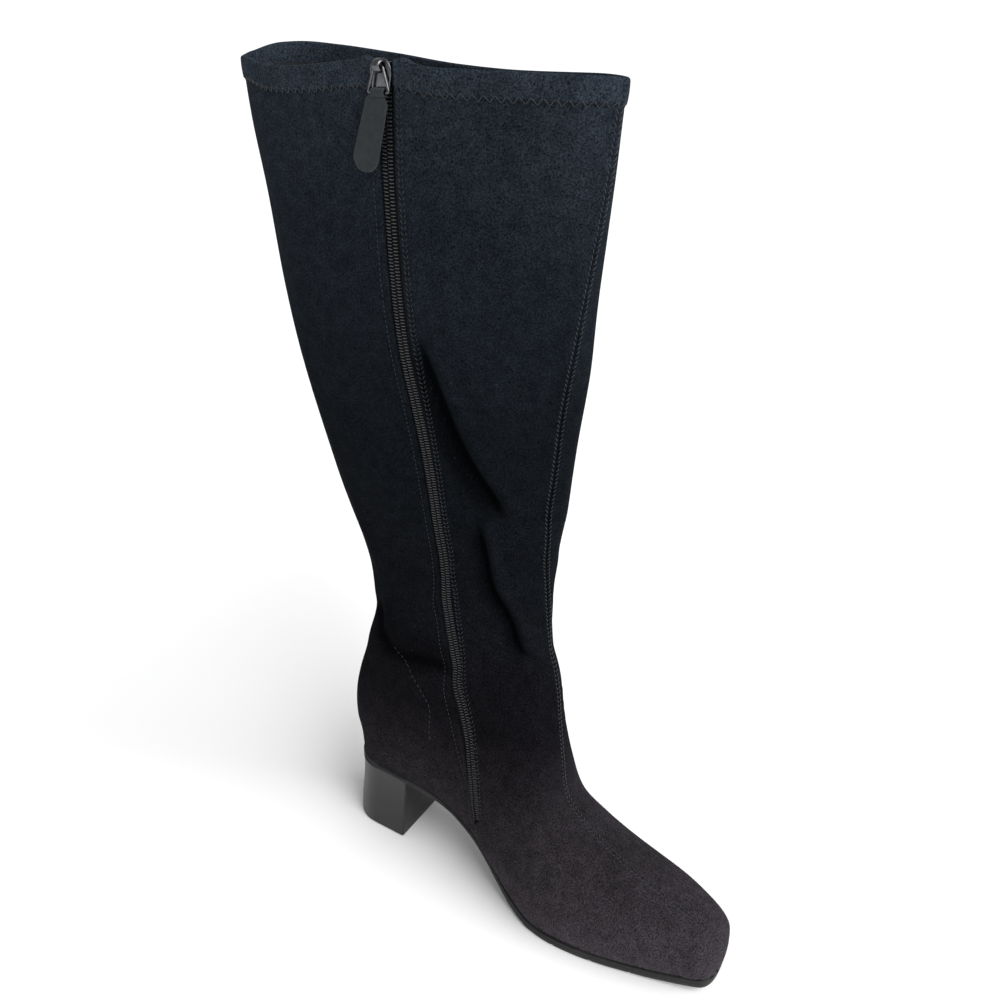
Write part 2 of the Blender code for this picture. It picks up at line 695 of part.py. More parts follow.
def make_outsole(collection, tools, finish):
    """The outsole: arch, toe spring, seat and four grooves across the forepart."""
    stations = plan_stations(SEAT_INSET, FOOT_LENGTH, SEAT_ROUND, TOE_ROUND, SOLE_STEP)
    layers = (
        sole_layer(EDGE_ROUND, sole_under),
        sole_layer(0.0, lambda x: sole_under(x) + EDGE_ROUND),
        sole_layer(0.0, lambda x: sole_top(x) - EDGE_ROUND / 2),
        sole_layer(EDGE_ROUND / 2, sole_top),
    )
    mesh = stacked_plate("outsole", stations, layers)
    sole = new_object("outsole", mesh, collection, finish)
    work = bmesh.new()
    for k in range(GROOVE_COUNT):
        x = GROOVE_FIRST + GROOVE_PITCH * k
        top = sole_under(x) + GROOVE_DEPTH
        height = top + 2 * GROOVE_DEPTH
        place = Matrix.Translation(to_boot((x, 0.0, top - height / 2)))
        size = Matrix.Diagonal((GROOVE_WIDTH, 2 * BALL_WIDTH, height, 1.0))
        bmesh.ops.create_cube(work, size=1.0, matrix=place @ size)
    mesh = bpy.data.meshes.new("grooves")
    work.to_mesh(mesh)
    work.free()
    cut(sole, cutter_object("grooves", mesh, tools))
    return sole


def heel_layer(values):
    """A layer of the heel block as a function of the share along its length."""
    row = dict(zip(HEEL_COLUMNS, values))
    start = HEEL_BASE_BACK + row["back_in"]
    length = HEEL_BASE_LENGTH - row["back_in"] + row["breast"]
    widest = HEEL_HALF_WIDTH + row["wider"]

    def layer(share):
        x = start + length * share
        depth = min(length * share / HEEL_ROUND, 1.0)
        half = widest * (1 - (1 - depth) ** HEEL_POWER) ** (1 / HEEL_POWER)
        if share == 1.0:
            half = widest - EDGE_ROUND
        z = (sole_under(x) - FIT_GAP) * row["rise"]
        return [(x, -half, z), (x, half, z)]
    return layer


def make_heel(collection, finish):
    """The heel block: a D in plan with a flat breast."""
    shares = [HEEL_CURVE_SHARE * (1 - math.cos(t)) for t in np.linspace(0, math.pi / 2, 9)]
    shares += [*HEEL_FLAT_SHARES, 1 - EDGE_ROUND / HEEL_BASE_LENGTH, 1.0]
    layers = [heel_layer(values) for values in HEEL_SECTIONS]
    mesh = stacked_plate("heel", shares, layers)
    return new_object("heel", mesh, collection, finish)


def make_insole(collection, finish):
    """The insole: a thin plate on the outsole, inside the upper's wall."""
    inset = SOLE_LEDGE + WALL + INSOLE_CLEAR
    stations = plan_stations(SEAT_INSET, FOOT_LENGTH, SEAT_ROUND, TOE_ROUND, INSOLE_STEP)
    layers = (
        sole_layer(inset, lambda x: sole_top(x) + FIT_GAP),
        sole_layer(inset, lambda x: sole_top(x) + FIT_GAP + INSOLE_THICKNESS),
    )
    mesh = stacked_plate("insole", stations, layers)
    return new_object("insole", mesh, collection, finish)


def zip_place(u, offset):
    """Point and outward normal of the wall's line at u, at an offset from the zip's middle."""
    places = column_places(u)
    back_edge = outer_point(u, places[SLOT_COLUMN])
    front_edge = outer_point(u, places[SLOT_COLUMN + 1])
    left = abs(offset) - SLOT_WIDTH / 2
    if left <= 0:
        share = 0.5 + offset / SLOT_WIDTH
        return back_edge + (front_edge - back_edge) * share, outward(u, ZIP_V)
    side = 1 if offset > 0 else -1
    column = SLOT_COLUMN + 1 if offset > 0 else SLOT_COLUMN
    here = outer_point(u, places[column])
    beyond = outer_point(u, places[column + side])
    while np.linalg.norm(beyond - here) < left:
        left -= float(np.linalg.norm(beyond - here))
        column += side
        here = beyond
        beyond = outer_point(u, places[column + side])
    away = (beyond - here) / np.linalg.norm(beyond - here)
    middle = (places[column] + places[column + side]) / 2
    return here + away * left, outward(u, middle)


def zip_bar(name, offsets, depth_top, depth_low, low_u, high_u, collection, finish):
    """A bar along the zip, between two depths under the wall's outer face."""
    rows, _ = upper_rows()
    between = [u for u in rows if low_u + ROW_CLEAR < u < high_u - ROW_CLEAR]
    rows = [low_u] + between + [high_u]
    points, faces = [], []
    for u in rows:
        for depth in (depth_top, depth_low):
            for offset in offsets:
                point, normal = zip_place(u, offset)
                points.append(point - normal * depth)
    columns = len(offsets)
    size = 2 * columns
    ring = list(range(columns)) + list(range(size - 1, columns - 1, -1))
    for i in range(len(rows) - 1):
        for a, b in zip(ring, ring[1:] + ring[:1]):
            faces.append((i * size + a, i * size + b, (i + 1) * size + b, (i + 1) * size + a))
    faces.append(tuple(ring))
    faces.append(tuple((len(rows) - 1) * size + k for k in reversed(ring)))
    return new_object(name, mesh_from(name, points, faces), collection, finish)


def slider_frame():
    """Frame at the slider's top: X across the zip, Y into the boot, Z up the zip."""
    top = outer_point(COLLAR_U, ZIP_V)
    outwards = Vector(outward(COLLAR_U - SLIDER_NORMAL_U, ZIP_V))
    up = Vector(top - outer_point(COLLAR_U - SLIDER_UP_U, ZIP_V))
    up = (up - outwards * up.dot(outwards)).normalized()
    across = up.cross(outwards)
    across.negate()
    frame = Matrix((across, -outwards, up)).transposed().to_4x4()
    frame.translation = to_boot(top) + up * SLIDER_ABOVE_COLLAR
    return frame


def block(name, size, centre, edge=0.0):
    """A box mesh, with its edges rounded if an edge is given."""
    work = bmesh.new()
    place = Matrix.Translation(centre) @ Matrix.Diagonal((*size, 1.0))
    bmesh.ops.create_cube(work, size=1.0, matrix=place)
    if edge > 0:
        bmesh.ops.bevel(work, geom=work.edges[:], offset=edge, segments=2,
                        profile=0.5, affect="EDGES")
    mesh = bpy.data.meshes.new(name)
    work.to_mesh(mesh)
    work.free()
    return mesh


def wire_mesh(name, points, thickness, closed):
    """A mesh of round wire through points."""
    data = bpy.data.curves.new(name, "CURVE")
    data.dimensions = "3D"
    data.bevel_depth = thickness / 2
    data.bevel_resolution = 2
    data.use_fill_caps = not closed
    line = data.splines.new("POLY")
    line.points.add(len(points) - 1)
    for target, point in zip(line.points, points):
        target.co = (*point, 1.0)
    line.use_cyclic_u = closed
    return curve_to_mesh(name, data)


def flat_mesh(name, loops, thickness):
    """A flat outline, with its holes, given a thickness about its own plane."""
    data = bpy.data.curves.new(name, "CURVE")
    data.dimensions = "2D"
    data.fill_mode = "BOTH"
    data.extrude = thickness / 2
    for loop in loops:
        line = data.splines.new("POLY")
        line.points.add(len(loop) - 1)
        for target, point in zip(line.points, loop):
            target.co = (point[0], point[1], 0.0, 1.0)
        line.use_cyclic_u = True
    return curve_to_mesh(name, data)


def curve_to_mesh(name, data):
    """The welded mesh of a curve, with its faces pointing out."""
    holder = bpy.data.objects.new(name + "_curve", data)
    bpy.context.scene.collection.objects.link(holder)
    graph = bpy.context.evaluated_depsgraph_get()
    mesh = bpy.data.meshes.new_from_object(holder.evaluated_get(graph))
    bpy.data.objects.remove(holder, do_unlink=True)
    work = bmesh.new()
    work.from_mesh(mesh)
    bmesh.ops.remove_doubles(work, verts=work.verts, dist=WELD)
    bmesh.ops.recalc_face_normals(work, faces=work.faces)
    work.to_mesh(mesh)
    work.free()
    return mesh


def make_slider(frame, collection, tools, finish):
    """The slider: a plate over the zip, a core in the slot and the bridge for the ring."""
    plate_low = -(HEM_STEP + FIT_GAP)
    plate_top = plate_low - SLIDER_PLATE
    plate_middle = (plate_low + plate_top) / 2
    middle = -SLIDER_LENGTH / 2
    plate = block("zip_slider", (SLIDER_WIDTH, SLIDER_PLATE, SLIDER_LENGTH),
                  (0, plate_middle, middle), SLIDER_EDGE)
    slider = new_object("zip_slider", plate, collection, finish)
    slider.matrix_world = frame
    core_low = TAPE_DEPTH - FIT_GAP
    core = block("slider_core", (SLIDER_CORE_WIDTH, core_low - plate_middle, SLIDER_CORE_LENGTH),
                 (0, (core_low + plate_middle) / 2, middle + SLIDER_CORE_SHIFT))
    crown = plate_top - BRIDGE_CLEAR - BRIDGE_BAR / 2
    reach = BRIDGE_LENGTH / 2
    path = [(0.0, plate_middle + rise * (crown - plate_middle), -BRIDGE_TOP - reach + reach * share)
            for share, rise in BRIDGE_PROFILE]
    bridge = wire_mesh("slider_bridge", path, BRIDGE_BAR, False)
    for mesh in (core, bridge):
        tool = cutter_object(mesh.name, mesh, tools)
        tool.matrix_world = frame
        cut(slider, tool, "UNION")
    return slider


def hinge_frame(frame):
    """Frame of the pull: on the hinge axis in the bridge, hanging plumb, leaning sideways."""
    depth = -(HEM_STEP + FIT_GAP + SLIDER_PLATE + BRIDGE_CLEAR / 2)
    across = Vector((frame[0][0], frame[1][0], 0.0)).normalized()
    up = Vector((0.0, 0.0, 1.0))
    hinge = Matrix((across, up.cross(across), up)).transposed().to_4x4()
    hinge.translation = frame @ Vector((0.0, depth, -HINGE_BELOW_TOP))
    return hinge


def ring_outline():
    """Centre line of the ring, X across and Z up, from its bar in the bridge."""
    corners = ((-RING_TOP_WIDTH / 2, 0.0), (RING_TOP_WIDTH / 2, 0.0),
               (RING_LOW_WIDTH / 2, -RING_LENGTH), (-RING_LOW_WIDTH / 2, -RING_LENGTH))
    points = []
    for k, corner in enumerate(corners):
        here = Vector(corner)
        before = (Vector(corners[k - 1]) - here).normalized() * RING_TURN
        after = (Vector(corners[(k + 1) % 4]) - here).normalized() * RING_TURN
        for t in (0.0, 0.5, 1.0):
            point = here + before * (1 - t) ** 2 + after * t**2
            points.append((point.x, 0.0, point.y))
    return points


def tab_side(hole, eye):
    """Side view of the tab: the fold round the ring's lower bar, its hole, and the strap."""
    half = TAB_THICKNESS / 2
    start = math.asin(half / eye)
    fold = [(eye * math.sin(t), eye * math.cos(t))
            for t in np.linspace(-math.pi + start, math.pi - start, 17)]
    inside = [(hole * math.sin(t), hole * math.cos(t)) for t in np.linspace(0, 2 * math.pi, 13)[:-1]]
    return [[(half, -TAB_LENGTH), (-half, -TAB_LENGTH)] + fold, inside]


def tab_plan(top_z):
    """Front view of the tab: a narrow neck in the ring, shoulders and a round end."""
    radius = TAB_WIDTH / 2
    neck = (RING_LOW_WIDTH - RING_WIRE) / 2 - RING_TURN - FIT_GAP
    right = [(neck, top_z), (neck, -TAB_NECK + TAB_SHOULDER), (TAB_TOP_WIDTH / 2, -TAB_NECK - TAB_SHOULDER)]
    end = [(radius * math.cos(t), -TAB_LENGTH + radius - radius * math.sin(t))
           for t in np.linspace(0, math.pi, 13)]
    return right + end + [(-x, z) for x, z in reversed(right)]


def make_tab(holder, collection, tools, finish):
    """The leather tab, folded over the ring's lower bar and leaning sideways."""
    hole = RING_WIRE / 2 + FIT_GAP
    eye = hole + TAB_EYE_WALL
    mesh = flat_mesh("pull_tab", tab_side(hole, eye), TAB_WIDTH * 4)
    mesh.transform(Matrix(((0, 0, 1, 0), (1, 0, 0, 0), (0, 1, 0, 0), (0, 0, 0, 1))))
    tab = new_object("pull_tab", mesh, collection, finish)
    tab.parent = holder
    seat = Matrix.Translation((0.0, 0.0, -RING_LENGTH))
    tab.matrix_local = seat
    mesh = flat_mesh("tab_plan", [tab_plan(2 * eye)], 4 * eye)
    mesh.transform(Matrix.Rotation(math.pi / 2, 4, "X"))
    tool = cutter_object("tab_plan", mesh, tools)
    tool.parent = holder
    tool.matrix_local = seat @ Matrix.Rotation(TAB_LEAN, 4, "Y")
    cut(tab, tool, "INTERSECT")
    return tab


def make_pull(frame, collection, tools, metal, leather):
    """The ring and the tab, hung from the slider's bridge."""
    holder = bpy.data.objects.new("zip_pull_hinge", None)
    collection.objects.link(holder)
    holder.matrix_world = hinge_frame(frame)
    mesh = wire_mesh("pull_ring", ring_outline(), RING_WIRE, True)
    ring = new_object("pull_ring", mesh, collection, metal)
    ring.parent = holder
    make_tab(holder, collection, tools, leather)
    return holder


def remove_old():
    """Empty the scene."""
    for old in list(bpy.data.objects):
        bpy.data.objects.remove(old, do_unlink=True)


def main():
    """Make every piece of the boot."""
    remove_old()
    parts = bpy.data.collections.new("knee_high_boot")
    tools = bpy.data.collections.new("cutters")
    bpy.context.scene.collection.children.link(parts)
    bpy.context.scene.collection.children.link(tools)
    finish = {name: material(name, *values) for name, *values in FINISHES}
    make_upper(parts, finish["stretch_fabric"])
    make_outsole(parts, tools, finish["sole_rubber"])
    make_heel(parts, finish["heel_stack"])
    make_insole(parts, finish["insole_lining"])
    edge = SLOT_WIDTH / 2
    zip_bar("zip_tape", (-TAPE_HALF_WIDTH, -edge, edge, TAPE_HALF_WIDTH),
            TAPE_DEPTH, TAPE_DEPTH + TAPE_THICKNESS,
            SLOT_BOTTOM - TAPE_BELOW_SLOT, COLLAR_U - TAPE_BELOW_COLLAR,
            parts, finish["zip_tape_weave"])
    frame = slider_frame()
    coil_low = TAPE_DEPTH - COIL_GAP
    zip_bar("zip_coil", (-COIL_HALF_WIDTH, 0.0, COIL_HALF_WIDTH),
            coil_low - COIL_THICKNESS, coil_low,
            SLOT_BOTTOM + COIL_ABOVE_SLOT, u_at_height(ZIP_V, frame.translation.z - SLIDER_LENGTH, 3),
            parts, finish["zip_coil_nylon"])
    make_slider(frame, parts, tools, finish["dark_metal"])
    make_pull(frame, parts, tools, finish["dark_metal"], finish["pull_leather"])


main()
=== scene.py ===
"""Looks of the left knee-high boot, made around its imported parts.

Metres, +Z up, toe towards +X, inner (zip) side towards -Y, as in the frame.
A place on the upper is (u, v): u counts its sections from the toe (0) over
the heel's ring (14) to the collar (31), and v goes round a section, from the
back (0) over the zip (0.27) and the front ridge (0.5) to the back again (1).
"""
import math

import bmesh
import bpy
import numpy as np
from mathutils import Matrix, Vector


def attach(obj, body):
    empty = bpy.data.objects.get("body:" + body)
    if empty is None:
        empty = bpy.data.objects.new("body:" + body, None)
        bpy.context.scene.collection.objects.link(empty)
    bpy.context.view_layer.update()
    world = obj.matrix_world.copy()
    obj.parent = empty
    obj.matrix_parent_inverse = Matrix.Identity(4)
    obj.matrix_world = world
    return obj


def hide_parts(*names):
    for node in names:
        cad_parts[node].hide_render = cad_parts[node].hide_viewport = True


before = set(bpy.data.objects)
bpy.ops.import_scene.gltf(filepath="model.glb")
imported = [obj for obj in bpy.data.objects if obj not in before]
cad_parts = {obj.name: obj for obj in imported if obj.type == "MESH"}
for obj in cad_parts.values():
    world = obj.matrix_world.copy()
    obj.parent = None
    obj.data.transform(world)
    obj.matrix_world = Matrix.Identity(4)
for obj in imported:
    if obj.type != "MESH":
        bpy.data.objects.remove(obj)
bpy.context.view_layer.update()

# Driving sizes of the boot
FOOT_LENGTH = 0.257
BALL_WIDTH = 0.085
HEEL_HEIGHT = 0.049
TOE_SPRING = 0.0054
ANKLE_RISE = 0.100
TOTAL_HEIGHT = 0.4550
COLLAR_BACK = 0.065
COLLAR_FRONT = 0.1455
COLLAR_HALF_WIDTH = 0.037
WALL = 0.0018
FIT_GAP = 0.0004
SOLE_EDGE = 0.0052
SEAT_EDGE = 0.0030
SEAT_INSET = 0.0045
SEAT_ROUND = 0.0270
SEAT_POWER = 2.1
TOE_ROUND = 0.0100
TOE_POWER = 3.2
FLAT_START = 0.149
FLAT_END = 0.185
SOLE_LEDGE = 0.0012
GROOVE_FIRST = 0.1455
GROOVE_PITCH = 0.0225
GROOVE_COUNT = 4
GROOVE_WIDTH = 0.0018
GROOVE_DEPTH = 0.0011
HEEL_BASE_BACK = 0.0034
HEEL_BASE_LENGTH = 0.0435
HEEL_HALF_WIDTH = 0.0209
HEEL_ROUND = 0.021
HEEL_POWER = 2.15
HEEL_MIDDLE = HEEL_BASE_BACK + HEEL_BASE_LENGTH / 2
HEM_HEIGHT = 0.0105
HEM_STEP = 0.0008
SLOT_WIDTH = 0.0090
SLOT_BOTTOM = 11.2
TAPE_HALF_WIDTH = 0.0110
TAPE_THICKNESS = 0.0007
TAPE_DEPTH = WALL + 0.00058
SLIDER_ABOVE_COLLAR = 0.0008
SLIDER_LENGTH = 0.0125
SLIDER_PLATE = 0.0012
BRIDGE_BAR = 0.0016
BRIDGE_CLEAR = 0.0023
BRIDGE_LENGTH = 0.0042
BRIDGE_TOP = 0.0010
RING_WIRE = 0.0013
RING_TOP_WIDTH = 0.0046
RING_LOW_WIDTH = 0.0108
RING_LENGTH = 0.0098
RING_TURN = 0.0009
TAB_TOP_WIDTH = 0.0108
TAB_WIDTH = 0.0128
TAB_LENGTH = 0.0330
TAB_THICKNESS = 0.0017
TAB_EYE_WALL = 0.0008
TAB_NECK = 0.0024
TAB_SHOULDER = 0.0012
TAB_LEAN = math.radians(-15.0)
HINGE_BELOW_TOP = BRIDGE_TOP + BRIDGE_LENGTH - BRIDGE_BAR / 2 - FIT_GAP - RING_WIRE / 2
BOTTOM_V = 0.10
ZIP_V = 0.27
FRONT_V = 0.5
HEEL_RING = 14
HEEL_BLEND = 0.05
SEAT_PLAN_POWER = 1.1
SEAT_FILL_POWER = 0.9
NORMAL_STEP_U = 0.05
NORMAL_STEP_V = 0.002

# Rise of the sole's underside: share of the foot's length, share of the heel's height
ARCH = (
    (0.00, 1.000),
    (0.10, 1.000),
    (0.18, 0.985),
    (0.25, 0.930),
    (0.32, 0.820),
    (0.38, 0.640),
    (0.43, 0.430),
    (0.48, 0.205),
    (0.53, 0.055),
    (FLAT_START / FOOT_LENGTH, 0.0),
)

# Half widths of the sole: share of the foot's length, shares of the ball's width
SOLE_OUTLINE = (
    (0.000, 0.262, 0.262),
    (0.120, 0.264, 0.266),
    (0.180, 0.262, 0.272),
    (0.240, 0.248, 0.282),
    (0.310, 0.242, 0.300),
    (0.390, 0.260, 0.335),
    (0.460, 0.308, 0.382),
    (0.525, 0.382, 0.430),
    (0.585, 0.448, 0.465),
    (0.642, 0.470, 0.478),
    (0.692, 0.462, 0.470),
    (0.760, 0.430, 0.440),
    (0.817, 0.392, 0.404),
    (0.875, 0.352, 0.358),
    (0.926, 0.312, 0.306),
    (0.965, 0.280, 0.260),
    (1.000, 0.250, 0.215),
)

# Thickness of the outsole: share of the foot's length, share of the way from seat to forepart
SOLE_THICKNESS = (
    (0.00, 0.00),
    (0.20, 0.00),
    (0.40, 0.20),
    (0.56, 1.00),
    (1.00, 1.00),
)

# Sections of the foot, in shares of its length, the ankle's rise and the ball's width
FOOT_COLUMNS = ("low_x", "low_rise", "top_x", "top_rise", "medial", "lateral",
                "widest", "low_power", "top_power", "low_y", "top_y", "zip")
FOOT_SECTIONS = (
    (0.9980, 0.00, 0.9980, 0.090, 0.120, 0.100, 0.50, 1.5, 2.2, 0.000, -0.070, 0.10),
    (0.9945, 0.00, 0.9945, 0.140, 0.190, 0.165, 0.45, 1.5, 2.4, 0.000, -0.070, 0.12),
    (0.9845, 0.00, 0.9845, 0.190, 0.250, 0.215, 0.45, 1.5, 2.5, 0.000, -0.075, 0.14),
    (0.9620, 0.00, 0.9620, 0.255, 0.292, 0.255, 0.42, 1.5, 2.5, 0.000, -0.080, 0.16),
    (0.9220, 0.00, 0.9220, 0.305, 0.326, 0.308, 0.40, 1.5, 2.4, 0.000, -0.080, 0.18),
    (0.8650, 0.00, 0.8650, 0.355, 0.376, 0.370, 0.38, 1.5, 2.3, 0.000, -0.075, 0.19),
    (0.7970, 0.00, 0.7970, 0.410, 0.420, 0.415, 0.35, 1.5, 2.2, 0.000, -0.065, 0.19),
    (0.7300, 0.00, 0.7120, 0.480, 0.456, 0.445, 0.33, 1.5, 2.1, 0.000, -0.050, 0.18),
    (0.6550, 0.00, 0.6400, 0.560, 0.484, 0.465, 0.30, 1.5, 2.05, 0.000, -0.025, 0.16),
    (0.5800, 0.00, 0.5850, 0.675, 0.466, 0.465, 0.29, 1.5, 2.0, 0.000, 0.005, 0.13),
    (0.4950, 0.00, 0.5600, 0.825, 0.412, 0.445, 0.30, 1.5, 2.0, 0.000, 0.040, 0.10),
    (0.4000, 0.00, 0.5410, 0.800, 0.365, 0.420, 0.33, 1.5, 2.0, 0.000, 0.085, 0.10),
    (0.2900, 0.00, 0.5210, 0.810, 0.330, 0.385, 0.36, 1.5, 2.0, 0.000, 0.130, 0.40),
    (0.1800, 0.00, 0.4990, 0.920, 0.305, 0.360, 0.38, 1.5, 2.0, 0.000, 0.175, 0.545),
    (0.0850, 0.00, 0.4800, 1.030, 0.285, 0.350, 0.42, 1.6, 2.0, 0.000, 0.210, 0.610),
    (0.0060, 0.05, 0.4680, 1.143, 0.275, 0.345, 0.42, 2.2, 2.0, 0.000, 0.240, 0.635),
    (-0.0110, 0.18, 0.4600, 1.250, 0.265, 0.340, 0.44, 2.3, 2.0, 0.010, 0.265, 0.640),
    (-0.0163, 0.36, 0.4560, 1.345, 0.255, 0.335, 0.46, 2.3, 2.0, 0.030, 0.280, 0.625),
    (-0.0060, 0.57, 0.4550, 1.445, 0.245, 0.330, 0.48, 2.3, 2.0, 0.050, 0.290, 0.590),
    (0.0115, 0.76, 0.4565, 1.545, 0.240, 0.330, 0.50, 2.3, 2.0, 0.075, 0.290, 0.550),
    (0.0250, 0.93, 0.4600, 1.645, 0.238, 0.330, 0.50, 2.3, 2.0, 0.105, 0.285, 0.515),
)

# Sections of the shaft, as shares of the way from the ankle to the collar
SHAFT_COLUMNS = ("low_z", "low_x", "top_z", "top_x", "medial", "lateral",
                 "widest", "low_power", "top_power", "low_y", "top_y", "zip")
SHAFT_SECTIONS = (
    (0.050, 0.020, 0.045, 0.070, 0.00, 0.04, 0.50, 2.3, 2.0, 0.130, 0.280, 0.500),
    (0.107, 0.100, 0.093, 0.130, 0.00, 0.10, 0.50, 2.3, 2.0, 0.155, 0.275, 0.495),
    (0.166, 0.205, 0.152, 0.190, 0.02, 0.16, 0.50, 2.3, 2.0, 0.165, 0.265, 0.495),
    (0.230, 0.310, 0.228, 0.280, 0.08, 0.25, 0.50, 2.3, 2.0, 0.155, 0.245, 0.498),
    (0.308, 0.415, 0.338, 0.380, 0.20, 0.36, 0.50, 2.2, 2.0, 0.120, 0.215, 0.500),
    (0.412, 0.530, 0.456, 0.505, 0.38, 0.50, 0.50, 2.1, 2.0, 0.075, 0.175, 0.500),
    (0.536, 0.645, 0.565, 0.625, 0.58, 0.63, 0.50, 2.1, 2.0, 0.040, 0.115, 0.500),
    (0.672, 0.765, 0.684, 0.750, 0.76, 0.77, 0.49, 2.1, 2.0, 0.020, 0.045, 0.512),
    (0.815, 0.866, 0.810, 0.860, 0.88, 0.88, 0.48, 2.1, 1.95, 0.020, -0.010, 0.522),
    (0.910, 0.940, 0.905, 0.935, 0.95, 0.95, 0.47, 2.1, 1.90, 0.020, -0.045, 0.533),
    (1.000, 1.000, 1.000, 1.000, 1.00, 1.00, 0.47, 2.1, 1.90, 0.020, -0.065, 0.540),
)

# Rise of the collar's rim: place around it, share of the hem's height
RIM = (
    (0.00, 0.69),
    (0.05, 0.42),
    (0.10, 0.30),
    (0.14, 0.00),
    (0.18, -0.03),
    (0.22, 0.12),
    (0.26, 0.30),
    (0.28, 0.27),
    (0.31, 0.07),
    (0.40, 0.06),
    (0.50, 0.07),
    (0.60, 0.26),
    (0.68, 0.31),
    (0.74, 0.50),
    (0.80, 0.89),
    (0.86, 1.17),
    (0.90, 1.25),
    (0.94, 1.15),
    (1.00, 0.69),
)
RIM_FADE = 3.0

# Sections of the heel: share of its height, then metres set in, wider and past the base
HEEL_SECTIONS = (
    (0.00, 0.0006, -0.0006, -0.0004),
    (0.014, 0.0000, 0.0000, 0.0000),
    (0.30, 0.0004, -0.0001, 0.0006),
    (0.60, 0.0017, -0.0003, 0.0013),
    (0.85, 0.0024, 0.0000, 0.0019),
    (1.00, 0.0022, 0.0006, 0.0023),
)

# Front seam: section, place round it
FRONT_SEAM = (
    (0.0, 0.490),
    (3.0, 0.490),
    (6.0, 0.495),
    (9.0, 0.505),
    (12.0, 0.505),
    (15.0, 0.500),
    (17.0, 0.485),
    (19.0, 0.465),
    (21.0, 0.450),
    (23.0, 0.440),
    (25.0, 0.442),
    (27.0, 0.457),
    (29.0, 0.483),
    (31.0, 0.490),
)
COUNTER_SEAM = ((18.2, 0.18), (17.2, 0.21), (15.6, 0.23), (14.4, 0.24), (13.7, 0.23))
SHANK_SEAM = ((11.1, 0.265), (10.8, 0.22), (10.5, 0.17), (10.2, 0.125))

# Main folds: a line of places (u, v) down the boot, then metres, the ridge to the line's left
FOLD_COLUMNS = ("line", "depth", "width", "ridge", "ridge_place", "ridge_width")
FOLDS = (
    (((27.4, 0.283), (26.6, 0.290), (25.4, 0.305), (24.6, 0.320), (23.6, 0.345), (22.4, 0.368)),
     0.0038, 0.0038, 0.0022, 0.0084, 0.0044),
    (((23.8, 0.318), (21.9, 0.330), (19.5, 0.345), (17.2, 0.370), (15.3, 0.390), (14.0, 0.425)),
     0.0033, 0.0026, 0.0026, 0.0050, 0.0034),
    (((21.2, 0.050), (20.0, 0.090), (18.5, 0.160), (17.0, 0.235), (15.2, 0.285)),
     0.0028, 0.0068, 0.0011, -0.0140, 0.0075),
    (((11.0, 0.300), (10.4, 0.350), (9.8, 0.405), (9.6, 0.450)),
     0.0007, 0.0024, 0.0005, 0.0046, 0.0028),
    (((23.4, 0.660), (21.6, 0.660), (19.3, 0.640), (17.3, 0.615), (15.6, 0.590)),
     0.0011, 0.0036, 0.0010, -0.0064, 0.0042),
    (((20.4, 0.930), (19.0, 0.870), (17.4, 0.800), (15.6, 0.745)),
     0.0020, 0.0070, 0.0009, 0.0140, 0.0070),
    (((28.2, 0.950), (25.6, 0.955), (23.4, 0.950), (21.3, 0.940)),
     0.0012, 0.0060, 0.0007, 0.0110, 0.0060),
    (((27.4, 0.060), (25.0, 0.052), (23.0, 0.060), (21.3, 0.075)),
     0.0011, 0.0060, 0.0007, -0.0110, 0.0060),
    (((28.6, 0.760), (26.6, 0.735), (24.6, 0.720)),
     0.0014, 0.0100, 0.0008, 0.0170, 0.0100),
    (((23.2, 0.600), (20.0, 0.600), (16.0, 0.600), (13.5, 0.570), (10.6, 0.530)),
     0.0, 0.0100, 0.0027, 0.0, 0.0180),
)
FOLD_SAMPLES = 70
FOLD_FADE = 0.22
FOLD_FREE_V = 0.06
FOLD_FREE_U = 1.5

# Painted light and shade: the hem's painted sheen, the trough depth of the darkest painted shade, the share
# of painted shade beside the trough
HEM_PAINTED_SHEEN = 0.35
FOLD_PAINTED_SHADE_DEPTH = 0.0034
FOLD_SIDE_SHADE_SHARE = 0.6

# Low ripples of the fabric: waves round the boot, waves a section, phase, metres high
RIPPLES = (
    (5, 0.31, 4.0, 0.00032),
    (7, 0.15, 0.3, 0.00028),
    (11, -0.22, 1.9, 0.00020),
    (16, 0.10, 2.2, 0.00010),
)

# The foot holds the fabric taut: last section, share of the ripples there, sections to fade over
TAUT_U = 12.0
TAUT_SLACK = 0.3
TAUT_FADE = 8.0

# Fine shapes of the skin: a pair is a height and a width in metres, a fade counts sections
HEM_LAP = 0.0006
HEM_SLOPE = 0.0014
HEM_SWELL = 0.0003
HEM_GROOVE = (0.0006, 0.0008)
SEAM_GROOVE = (0.0008, 0.0006)
SEAM_SWELL = (0.0004, 0.0013)
SEAM_SWELL_PLACE = 0.0022
SEAM_ON_FOOT = 0.5
SEAM_FADE = 4.0
SLOT_GROOVE = (0.0006, 0.0008)
SLOT_LEAD = 0.2
SLOT_FADE = 0.3
ZIP_GROOVE = (0.0004, 0.0009)
ZIP_SWELL = (0.0003, 0.0012)
ZIP_SWELL_SHARE = 0.76

